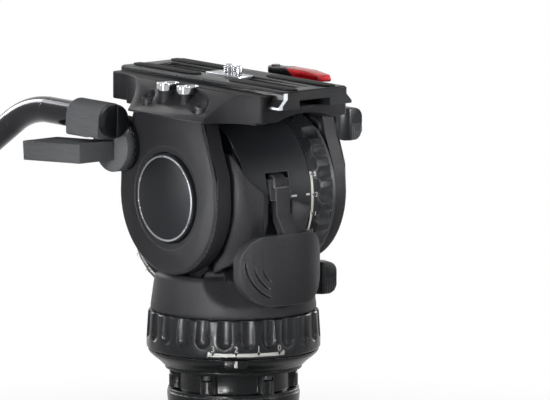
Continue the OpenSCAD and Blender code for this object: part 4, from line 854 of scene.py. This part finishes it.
    def flank(self) -> None:
        """Shapes the smooth flank from its lip over the scoop to the curved upper edge, past the drum's left end."""
        columns, rows, thick = 40, 36, 4.0
        first, last = self.flank_turn
        bm = bmesh.new()
        bmesh.ops.create_grid(bm, x_segments=columns, y_segments=rows, size=0.5)
        for v in bm.verts:
            turn = first + (last - first) * (v.co.x + 0.5)
            a = math.radians(turn)
            foot = min(self.flank_foot[0] + self.flank_slope * (turn - first), self.flank_foot[1])
            z = foot + (self.crest(turn) - foot) * (v.co.y + 0.5)
            r = self.flank_r(turn, z)
            v.co = Vector((r * math.cos(a), r * math.sin(a), z)) * MM
        grown = bmesh.ops.extrude_face_region(bm, geom=bm.faces[:])["geom"]
        for v in (g for g in grown if isinstance(g, bmesh.types.BMVert)):
            kept = 1 - thick * MM / v.co.xy.length
            v.co *= Vector((kept, kept, 1))
        bmesh.ops.recalc_face_normals(bm, faces=bm.faces)
        self.piece("turret_flank", bm, "turret", "charcoal", CAST_TURRET, (), 40.0)

    def drum_ticks(self) -> None:
        """Prints the two white ticks that the tilt scale is read against."""
        rise = math.asin((self.tick_z - self.axis_z) / self.drum_r)
        sine, cosine = math.sin(rise), math.cos(rise)
        spot = (0, -cosine * self.drum_r, sine * self.drum_r + self.axis_z)
        place = frame_of(spot, (1, 0, 0), (0, sine, cosine))
        lines = [block((a, -self.tick_h / 2, -0.2), (b, self.tick_h / 2, 0.05), 0.04, place) for a, b in self.ticks]
        self.piece("drum_ticks", joined(lines), "turret", "white_print")

    def bubble(self) -> None:
        """Makes the domed vial with its ring and its bubble."""
        place = Matrix.Translation(self.vial)
        r = self.vial_r
        dome = [(0, 0), (r, 0), (r, 3.8), (r - 0.3, 4.2), (r * 0.75, 4.55), (r * 0.4, 4.75), (0, 4.8)]
        self.piece("bubble_vial", lathe(dome, place, 64), "turret", "vial", instead=("bubble_level",))
        ring = [(3.0, 4.76), (3.5, 4.74), (3.5, 4.84), (3.0, 4.86), (3.0, 4.76)]
        self.piece("bubble_ring", lathe(ring, place, 64), "turret", "ring_black")
        drop = [(0, 4.7), (1.5, 4.72), (2.1, 4.78), (1.5, 4.86), (0, 4.88)]
        self.piece("bubble_drop", lathe(drop, Matrix.Translation((0.4, 0.3, 0)) @ place, 32), "turret", "white_print")


@dataclass
class TiltDrag(SubAssembly):
    """The fluted ring that sets the tilt drag, with its printed scale.

    Attributes:
        axis_z: Height of the tilt axis.
        inner_x: Inner face of the ring.
        foot_r: Radius of its band at that face.
        flare: Slope of the band, in degrees.
        marks: Numerals and how far above the front they stand, in degrees.
        digit_x: Where the middle of the numerals is.
        digit_h: How tall they are.
    """

    axis_z: float = 114.0
    inner_x: float = 18.8
    foot_r: float = 46.8
    flare: float = 16.7
    marks: tuple[tuple[str, float], ...] = (("3", 15.4), ("2", 1.5), ("1", -11.7), ("0", -24.9))
    digit_x: float = 21.65
    digit_h: float = 2.5

    def on_band(self, degrees: float, x: float, out: float) -> Matrix:
        """Gives a frame on the sloped band.

        Args:
            degrees: How far above the front it is.
            x: Its place along the tilt axis.
            out: How far it stands out of the band.

        Returns:
            The frame.
        """
        a, slope = math.radians(degrees), math.radians(self.flare)
        away = Vector((0, -math.cos(a), math.sin(a)))
        right = Vector((1, 0, 0)) * math.cos(slope) + away * math.sin(slope)
        up = Vector((0, math.sin(a), math.cos(a)))
        r = self.foot_r + (x - self.inner_x) * math.tan(slope)
        return frame_of(Vector((x, 0, self.axis_z)) + away * r + right.cross(up) * out, right, up)

    def build(self) -> None:
        """Dresses the ring and prints its scale."""
        self.soften("tilt_drag_ring", 0.35)
        self.dress("tilt_scale_band")
        digits = [numeral(d, self.digit_h, self.on_band(a, self.digit_x, 0.03)) for d, a in self.marks]
        self.piece("tilt_numerals", joined(digits), "tilt_ring", "white_print")
        arrow = ((-0.95, 0.0), (0.55, -0.95), (0.55, 0.95))
        arrows = [prism(arrow, 0.35, 0.0, self.on_band(a, self.inner_x + 1.15, -0.3)) for _, a in self.marks]
        self.piece("tilt_scale_arrows", joined(arrows), "tilt_ring", "ring_black")


@dataclass
class BalanceDial(SubAssembly):
    """The dial behind the left arm that sets the counterbalance.

    Attributes:
        face_x: Its outer face.
        centre: Its centre, across and up.
        arc_r: Inner and outer radius of its white arc.
        digit_r: Radius of the middle of its numerals.
        digit_h: How tall they are.
        first: Direction of the first mark, in degrees below the rear.
        pitch: Angle between marks, in degrees.
        count: Count of marks.
        arc_end: How far the white arc runs past its last mark, in degrees.
    """

    face_x: float = -35.7
    centre: tuple[float, float] = (11.5, 97.5)
    arc_r: tuple[float, float] = (33.6, 34.9)
    digit_r: float = 36.8
    digit_h: float = 2.6
    first: float = 18.1
    pitch: float = 17.2
    count: int = 4
    arc_end: float = 4.0

    def on_face(self, degrees: float, radius: float, out: float) -> Matrix:
        """Gives a frame on the face with its Y direction away from the centre.

        Args:
            degrees: Direction below the rear.
            radius: Distance from the centre.
            out: How far it stands out of the face.

        Returns:
            The frame.
        """
        a = math.radians(-degrees)
        away = Vector((0, math.cos(a), math.sin(a)))
        spot = Vector((self.face_x - out, *self.centre)) + away * radius
        return frame_of(spot, away.cross(Vector((-1, 0, 0))), away)

    def build(self) -> None:
        """Dresses the dial and prints its marks."""
        self.soften("counterbalance_dial", 0.3)
        turns = [self.first + self.pitch * i for i in range(self.count)]
        self.arc(turns[-1] + self.arc_end)
        digits = [numeral(str(self.count - 1 - i), self.digit_h, self.on_face(a, self.digit_r, 0.03))
                  for i, a in enumerate(turns)]
        self.piece("dial_numerals", joined(digits), "balance_dial", "white_print")
        arrow = ((-1.0, 0.9), (0.0, -0.9), (1.0, 0.9))
        arrows = [prism(arrow, 0.2, 0.0, self.on_face(a, sum(self.arc_r) / 2, 0.15)) for a in turns]
        self.piece("dial_arrows", joined(arrows), "balance_dial", "ring_black")

    def arc(self, end: float) -> None:
        """Prints the white arc no further round than its last mark.

        Args:
            end: Direction of its end, in degrees below the rear.
        """
        bm = bmesh.new()
        bm.from_mesh(frame["nodes"]["counterbalance_scale"].data)
        bmesh.ops.remove_doubles(bm, verts=bm.verts, dist=MERGE_M)
        a = math.radians(end)
        cut_away(bm, (self.face_x, *self.centre), (0, -math.sin(a), -math.cos(a)), keep_far=False)
        self.piece("dial_arc", bm, "balance_dial", "white_print", instead=("counterbalance_scale",))


@dataclass
class LevelLever(SubAssembly):
    """The big paddle that opens the bowl clamp."""

    def build(self) -> None:
        """Rounds the paddle."""
        self.soften("level_lever", 0.25)


@dataclass
class Platform(SubAssembly):
    """The tilting platform with its arms, disc, brake and plate lock.

    Attributes:
        lock_split: A point on the line between the lock lever's hub and its finger end.
        lock_slant: Direction across that line, towards the hub.
        spare_split: A point level with the underside of the spare screws' heads.
    """

    lock_split: tuple[float, float, float] = (35.6, -8.6, 181.9)
    lock_slant: tuple[float, float, float] = (0.0, 0.54, -0.84)
    spare_split: tuple[float, float, float] = (-39.5, 0.0, 173.3)

    def build(self) -> None:
        """Dresses the platform and all that is fixed to it."""
        self.dress("arm_screws", "tilt_brake_shoe", "lock_pin", finish=BLACK_OXIDE)
        self.dress("tilt_axle", "tilt_drag_rotor", "disc_ring", "right_cap", "arm_rosettes")
        for node, round_mm in (("platform", 0.45), ("left_arm", 0.35), ("right_arm", 0.35), ("side_disc", 0.15),
                               ("clamp_jaw", 0.3), ("tilt_brake_wing", 0.3)):
            self.soften(node, round_mm)
        # The shanks take the dark black-oxide finish as painted shade under the chrome heads.
        self.halved("spare_screws", 0.35, self.spare_split, (0, 0, -1),
                    ("spare_screw_heads", "steel", CHROME), ("spare_screw_shanks_painted_shade", "steel", BLACK_OXIDE))
        self.halved("plate_lock_lever", 0.7, self.lock_split, self.lock_slant,
                    ("lock_lever_finger", "red_lever", None), ("lock_lever_hub", "ring_black", None))

    def halved(self, node: str, round_mm: float, point: Sequence[float], across: Sequence[float],
               near: tuple[str, str, Finish | None], far: tuple[str, str, Finish | None]) -> None:
        """Splits a node along a plane into two pieces of different finish.

        Args:
            node: The CAD node.
            round_mm: How far its edges are cut back.
            point: A point of the plane.
            across: Direction across the plane, towards the far piece.
            near: Name, slot and finish of the near piece.
            far: Name, slot and finish of the far piece.
        """
        for (name, slot, finish), is_far in ((near, False), (far, True)):
            bm = self.rounded(node, round_mm, 3)
            cut_away(bm, point, across, is_far)
            self.piece(name, bm, BODY_OF[node], slot, finish, (node,), 40.0)


@dataclass
class CameraPlate(SubAssembly):
    """The sliding plate with its rubber strips, screw carrier, camera screw and video pin.

    Attributes:
        top: Height of the plate's top.
        strip_x: Distance of the strips from the middle.
        strip_y: Middles of the front and rear strips.
        strip_l: Length of a strip.
        strip_w: Width of a strip.
        strip_t: Thickness of a strip.
        screw_y: Place of the camera screw.
        pin_y: Place of the video pin.
        pitch: Pitch of the thread, 20 turns to the inch.
        crest_r: Radius of the thread's crest.
        root_r: Radius of its root.
        screw_top: Top of the screw.
        thread_turns: Count of the thread's turns.
        head_r: Radius of the screw's foot.
        half_l: Half of the plate's length, less the thickness of its bare edges.
        foot: Height of the plate's underside.
        rise: Height at which its flanks become upright.
        side: Half of its width at the foot, less the same thickness.
        lip: Half of its width at the top.
        bare_w: Width of the bare edge on its front.
        bare_l: Length of the one along its foot.
        bare_t: How far both stand out.
    """

    top: float = 179.7
    strip_x: float = 13.5
    strip_y: tuple[float, float] = (-43.5, 42.5)
    strip_l: float = 56.0
    strip_w: float = 8.6
    strip_t: float = 0.8
    screw_y: float = 4.0
    pin_y: float = -5.0
    pitch: float = 1.27
    crest_r: float = 3.175
    root_r: float = 2.45
    screw_top: float = 185.7
    thread_turns: float = 3.25
    head_r: float = 7.0
    half_l: float = 72.9
    foot: float = 169.7
    rise: float = 175.2
    side: float = 26.4
    lip: float = 22.7
    bare_w: float = 3.0
    bare_l: float = 11.0
    bare_t: float = 0.06

    def build(self) -> None:
        """Dresses the plate and makes its rubber, screw and pin."""
        self.slab()
        self.soften("screw_carrier", 0.25)
        self.rubber_strips()
        self.thread()
        self.pin()
        self.bare_edges()

    def slab(self) -> None:
        """Rounds the plate and keeps its left front corner back by the thickness of the bare edges."""
        bm = self.rounded("camera_plate", 0.3, 2)
        for v in bm.verts:
            v.co.x, v.co.y = max(v.co.x, -self.side * MM), max(v.co.y, -self.half_l * MM)
        self.piece("camera_plate_rounded", bm, "plate", SLOT_OF["camera_plate"], MILLED_PLATE, ("camera_plate",),
                   40.0)

    def bare_edges(self) -> None:
        """Lays thin strips of bare aluminium along the dovetail's left front corner and its foot."""
        side, lip, foot, high, end = self.side, self.lip, self.foot, self.top - 0.8, -self.half_l
        outer = [(-side, foot), (-side, foot + 1.6), (-lip, self.rise), (-lip, high)]
        inner = [(-lip, high), (-lip, self.rise + 0.4), (-side, foot + 2.0), (-side, foot)]
        flank = prism(outer + [(x + self.bare_w, z) for x, z in inner], self.bare_t, 0.0,
                      frame_of((0, end, 0), (1, 0, 0), (0, 0, 1)))
        run = block((-side - self.bare_t, end, foot), (-side + 0.3, end + self.bare_l, foot + 1.4), 0.05, Matrix())
        self.piece("plate_bare_edges", joined([flank, run]), "plate", "steel", BARE_ALUMINIUM)

    def rubber_strips(self) -> None:
        """Moulds the four pointed strips."""
        w, end = self.strip_w / 2, -self.strip_l / 2
        half = [(-w, end + w * 1.2), (-w / 2, end), (w / 2, end), (w, end + w * 1.2)]
        outline = half + [(-x, -y) for x, y in half]
        strips = [prism(outline, self.strip_t, 0.3, Matrix.Translation((x, y, self.top)))
                  for x in (-self.strip_x, self.strip_x) for y in self.strip_y]
        self.piece("plate_rubber_strips", joined(strips), "plate", "rubber", instead=("plate_pads",))

    def thread(self) -> None:
        """Cuts the camera screw: a round foot, a neck and a helical thread under a bevelled end."""
        foot, tip, r, neck = self.top - 9.5, self.screw_top, self.head_r, self.root_r + 0.1
        place = Matrix.Translation((0, self.screw_y, 0))
        head = [(0, foot), (r - 0.4, foot), (r, foot + 0.4), (r, foot + 3.2), (r - 0.4, foot + 3.6)]
        core = lathe(head + [(neck, foot + 3.7), (neck, tip - 0.5), (neck - 0.5, tip), (0, tip)], place, 64)
        steps = 32
        bm = bmesh.new()
        ridge = [(self.root_r, -0.52), (self.crest_r, -0.1), (self.crest_r, 0.1), (self.root_r, 0.52)]
        loop = [bm.verts.new((r, 0.0, self.top + 1.1 + h)) for r, h in ridge]
        edges = [bm.edges.new((loop[i], loop[(i + 1) % 4])) for i in range(4)]
        first = bm.faces.new(loop)
        bmesh.ops.spin(bm, geom=[first, *edges, *loop], cent=(0, 0, 0), axis=(0, 0, 1),
                       dvec=(0, 0, self.pitch / steps), angle=math.tau * self.thread_turns,
                       steps=int(steps * self.thread_turns))
        self.piece("camera_screw_threaded", joined([core, settle(bm, place)]), "screw", "steel", CHROME,
                   ("camera_screw",))

    def pin(self) -> None:
        """Turns the video pin with its rounded tip."""
        foot, tip = self.top - 4.0, self.screw_top - 0.2
        shape = [(0, foot), (1.58, foot), (1.58, self.top + 0.5), (2.1, self.top + 0.55), (2.1, tip - 0.9),
                 (1.95, tip - 0.35), (1.5, tip - 0.05), (0, tip)]
        self.piece("video_pin_turned", lathe(shape, Matrix.Translation((0, self.pin_y, 0)), 48), "carrier", "steel",
                   CHROME, ("video_pin",))


@dataclass
class PanBar(SubAssembly):
    """The pan bar with its clamp, lever, end cap, tube and grip.

    Attributes:
        bar: Place of the tube's axis, across and up.
        bend_y: Where the tube starts to bend.
        bend_r: Radius of the bend.
        bend_angle: Angle of the bend, in degrees.
        grip_from: Where the grip starts, after the bend.
        grip_len: Length of the grip on the tube.
        grip_r: Radius of the grip.
        tube_r: Radius of the tube.
        rib: Width of one of the grip's ribs.
        groove: Width of the groove after it.
    """

    bar: tuple[float, float] = (-62.2, 155.7)
    bend_y: float = 88.0
    bend_r: float = 60.0
    bend_angle: float = 33.0
    grip_from: float = 185.0
    grip_len: float = 115.0
    grip_r: float = 13.0
    tube_r: float = 7.55
    rib: float = 4.2
    groove: float = 1.6

    def build(self) -> None:
        """Dresses the bar and moulds its grip."""
        self.dress("pan_bar_tube", finish=DARK_TUBE)
        self.soften("bar_clamp", 0.35)
        self.soften("bar_end_cap", 0.35)
        self.soften("bar_lever", 0.6, segments=3)
        self.grip()

    def grip(self) -> None:
        """Moulds the ribbed rubber grip round the end of the tube."""
        place = (Matrix.Translation((self.bar[0], self.bend_y, self.bar[1] - self.bend_r))
                 @ Matrix.Rotation(math.radians(-self.bend_angle), 4, "X")
                 @ Matrix.Translation((0, self.grip_from, self.bend_r)) @ Matrix.Rotation(math.radians(-90), 4, "X"))
        r, end, bore = self.grip_r, self.grip_len, self.tube_r
        shape = [(0, end - 0.1), (bore, end - 0.1), (bore, 0), (r - 3, 0), (r - 2.4, 0.4), (r - 1.2, 3), (r - 0.6, 6)]
        h = 12.0
        while h < end - 22:
            swell = r - 0.6 - math.sin(math.pi * (h - 6) / (end - 18))
            low, high = h + self.rib, h + self.rib + self.groove
            shape += [(swell, h), (swell, low - 0.5), (swell - 0.25, low), (swell - 0.75, low + 0.3),
                      (swell - 0.75, high - 0.3), (swell - 0.25, high)]
            h = high + 0.5
        shape += [(r - 0.2, end - 14), (r, end - 11), (r, end + 2), (r - 0.6, end + 4), (r - 2.4, end + 5.6),
                  (r - 5, end + 6), (0, end + 6)]
        self.piece("pan_bar_rubber_grip", lathe(shape, place, 72), "pan_bar", "rubber", instead=("pan_bar_grip",),
                   crease=50.0)


@dataclass
class Studio:
    """The floor, the soft lights, the white surroundings and the camera.

    Attributes:
        azimuth: Direction of the camera round the pan axis, in degrees.
        elevation: How far above the horizon it is, in degrees.
        distance: How far away it is, in millimetres.
        aim: Middle of the picture to the right of the origin and above it, in millimetres.
        view_w: Width of the picture at the object, in millimetres.
        floor_z: Height of the floor.
        floor_r: Radius of the floor.
        floor_fade: Radii between which the floor goes to white, in metres.
        floor_glow: Share of white that it has inside them.
        dim: Strength of the surroundings for diffuse rays.
    """

    azimuth: float = 231.0
    elevation: float = 8.5
    distance: float = 8000.0
    aim: tuple[float, float] = (23.45, 107.3)
    view_w: float = 310.73
    floor_z: float = -54.0
    floor_r: float = 3000.0
    floor_fade: tuple[float, float] = (0.12, 0.42)
    floor_glow: float = 0.35
    dim: float = 0.03

    def build(self) -> None:
        """Sets up the whole studio."""
        bpy.context.scene.view_settings.view_transform = "Standard"
        self.camera()
        self.world()
        self.floor()
        self.light("left_softbox", 190, 4, 560, (120, 420), 0.75)
        self.light("left_accent", 200, 8, 500, (40, 100), 0.095, 24.0, (-44, -48, 96))
        self.light("low_accent", 212, 4, 500, (30, 60), 0.03, 20.0, (-28, -34, 4))
        self.light("bar_accent", 196, 10, 600, (60, 200), 0.07, 20.0, (-70, 50, 150))
        self.light("right_accent", 290, 12, 500, (30, 80), 0.06, 18.0, (46, -24, 140))
        self.light("paddle_accent", 222, 24, 500, (40, 60), 0.013, 9.0, (-18, -62, 86))
        self.light("arm_accent", 150, 2, 420, (40, 100), 0.045, 15.0, (-45, -54, 122))
        self.light("front_softbox", 226, 30, 700, (160, 160), 0.4)
        self.light("right_softbox", 304, 14, 760, (120, 600), 2.2)
        self.light("rear_softbox", 95, 24, 1400, (500, 700), 14.0)
        self.light("side_softbox", 20, 20, 1400, (400, 700), 10.0)

    def spot(self, azimuth: float, elevation: float, distance: float) -> Vector:
        """Gives a place in metres by its direction from the origin and its distance in millimetres."""
        a, e = math.radians(azimuth), math.radians(elevation)
        return Vector((math.cos(a) * math.cos(e), math.sin(a) * math.cos(e), math.sin(e))) * distance * MM

    def camera(self) -> None:
        """Puts the camera where the photograph was taken from."""
        a = math.radians(self.azimuth)
        right = Vector((-math.sin(a), math.cos(a), 0))
        back = self.spot(self.azimuth, self.elevation, 1 / MM)
        up = back.cross(right)
        target = (right * self.aim[0] + up * self.aim[1]) * MM
        data = bpy.data.cameras.new("photo_camera")
        data.sensor_width = 36.0
        data.sensor_fit = "HORIZONTAL"
        data.lens = data.sensor_width * self.distance / self.view_w
        data.clip_start = 0.1
        data.clip_end = 200.0
        item = bpy.data.objects.new("photo_camera", data)
        item.location = target + back * self.distance * MM
        item.rotation_euler = (-back).to_track_quat("-Z", "Y").to_euler()
        bpy.context.scene.collection.objects.link(item)
        bpy.context.scene.camera = item

    def world(self) -> None:
        """Shows white to the camera, to gloss and through glass, and a softer grey to the rest."""
        world = bpy.data.worlds.new("studio_world")
        world.use_nodes = True
        bpy.context.scene.world = world
        tree = world.node_tree
        tree.nodes.clear()
        strength = add(tree, "ShaderNodeMapRange", None, {
            "Value": seen_directly(tree), "To Min": self.dim, "To Max": 1.0})
        back = add(tree, "ShaderNodeBackground", None, {
            "Color": linear("#ffffff"), "Strength": strength.outputs["Result"]})
        add(tree, "ShaderNodeOutputWorld", None, {"Surface": back.outputs["Background"]})

    def floor(self) -> None:
        """Lays the pale floor, which keeps the shadow and goes to white further out."""
        bm = bmesh.new()
        bmesh.ops.create_circle(bm, cap_ends=True, radius=self.floor_r * MM, segments=96,
                                matrix=Matrix.Translation((0, 0, self.floor_z * MM)))
        mesh = bpy.data.meshes.new("studio_floor")
        bm.to_mesh(mesh)
        bm.free()
        made = bpy.data.materials.new("matt_white_paper")
        made.use_nodes = True
        tree = made.node_tree
        tree.nodes.clear()
        where = add(tree, "ShaderNodeTexCoord").outputs["Object"]
        far = add(tree, "ShaderNodeVectorMath", {"operation": "LENGTH"}, {0: where}).outputs["Value"]
        fade = add(tree, "ShaderNodeMapRange", {"interpolation_type": "SMOOTHSTEP"}, {
            "Value": far, "From Min": self.floor_fade[0], "From Max": self.floor_fade[1],
            "To Min": self.floor_glow, "To Max": 1.0}).outputs["Result"]
        share = add(tree, "ShaderNodeMath", {"operation": "MULTIPLY"}, {0: seen_directly(tree), 1: fade})
        paper = add(tree, "ShaderNodeBsdfDiffuse", None, {"Color": linear("#ececec")})
        glow = add(tree, "ShaderNodeEmission", None, {"Color": linear("#ffffff"), "Strength": 1.0})
        both = add(tree, "ShaderNodeMixShader", None, {
            0: share.outputs["Value"], 1: paper.outputs["BSDF"], 2: glow.outputs["Emission"]})
        add(tree, "ShaderNodeOutputMaterial", None, {"Surface": both.outputs["Shader"]})
        mesh.materials.append(made)
        item = bpy.data.objects.new("studio_floor", mesh)
        bpy.context.scene.collection.objects.link(item)

    def light(self, name: str, azimuth: float, elevation: float, distance: float, size: tuple[float, float],
              watts: float, beam: float = 180.0, aim: Sequence[float] = (0, 0, 110)) -> None:
        """Hangs a soft light that points at a place on the object.

        Args:
            name: Its name.
            azimuth: Its direction round the pan axis, in degrees.
            elevation: How far above the horizon it is, in degrees.
            distance: How far away it is, in millimetres.
            size: Its width and height, in millimetres.
            watts: Its power.
            beam: How wide its beam opens, in degrees.
            aim: The place that it points at.
        """
        data = bpy.data.lights.new(name, "AREA")
        data.shape = "RECTANGLE"
        data.size, data.size_y = size[0] * MM, size[1] * MM
        data.energy = watts
        data.spread = math.radians(beam)
        item = bpy.data.objects.new(name, data)
        middle = Vector(aim) * MM
        away = self.spot(azimuth, elevation, distance)
        item.location = middle + away
        item.rotation_euler = (-away).to_track_quat("-Z", "Y").to_euler()
        bpy.context.scene.collection.objects.link(item)
        LOG.info("hung %s", name)


def main() -> None:
    """Builds the sub-assemblies in order."""
    logging.basicConfig(level=logging.INFO, format="%(name)s: %(message)s")
    Studio().build()
    for part in (BowlBase(), PanDrag(), Turret(), TiltDrag(), BalanceDial(), LevelLever(), Platform(), CameraPlate(),
                 PanBar()):
        LOG.info("building %s", type(part).__name__)
        part.build()


if __name__ == "__main__":
    main()
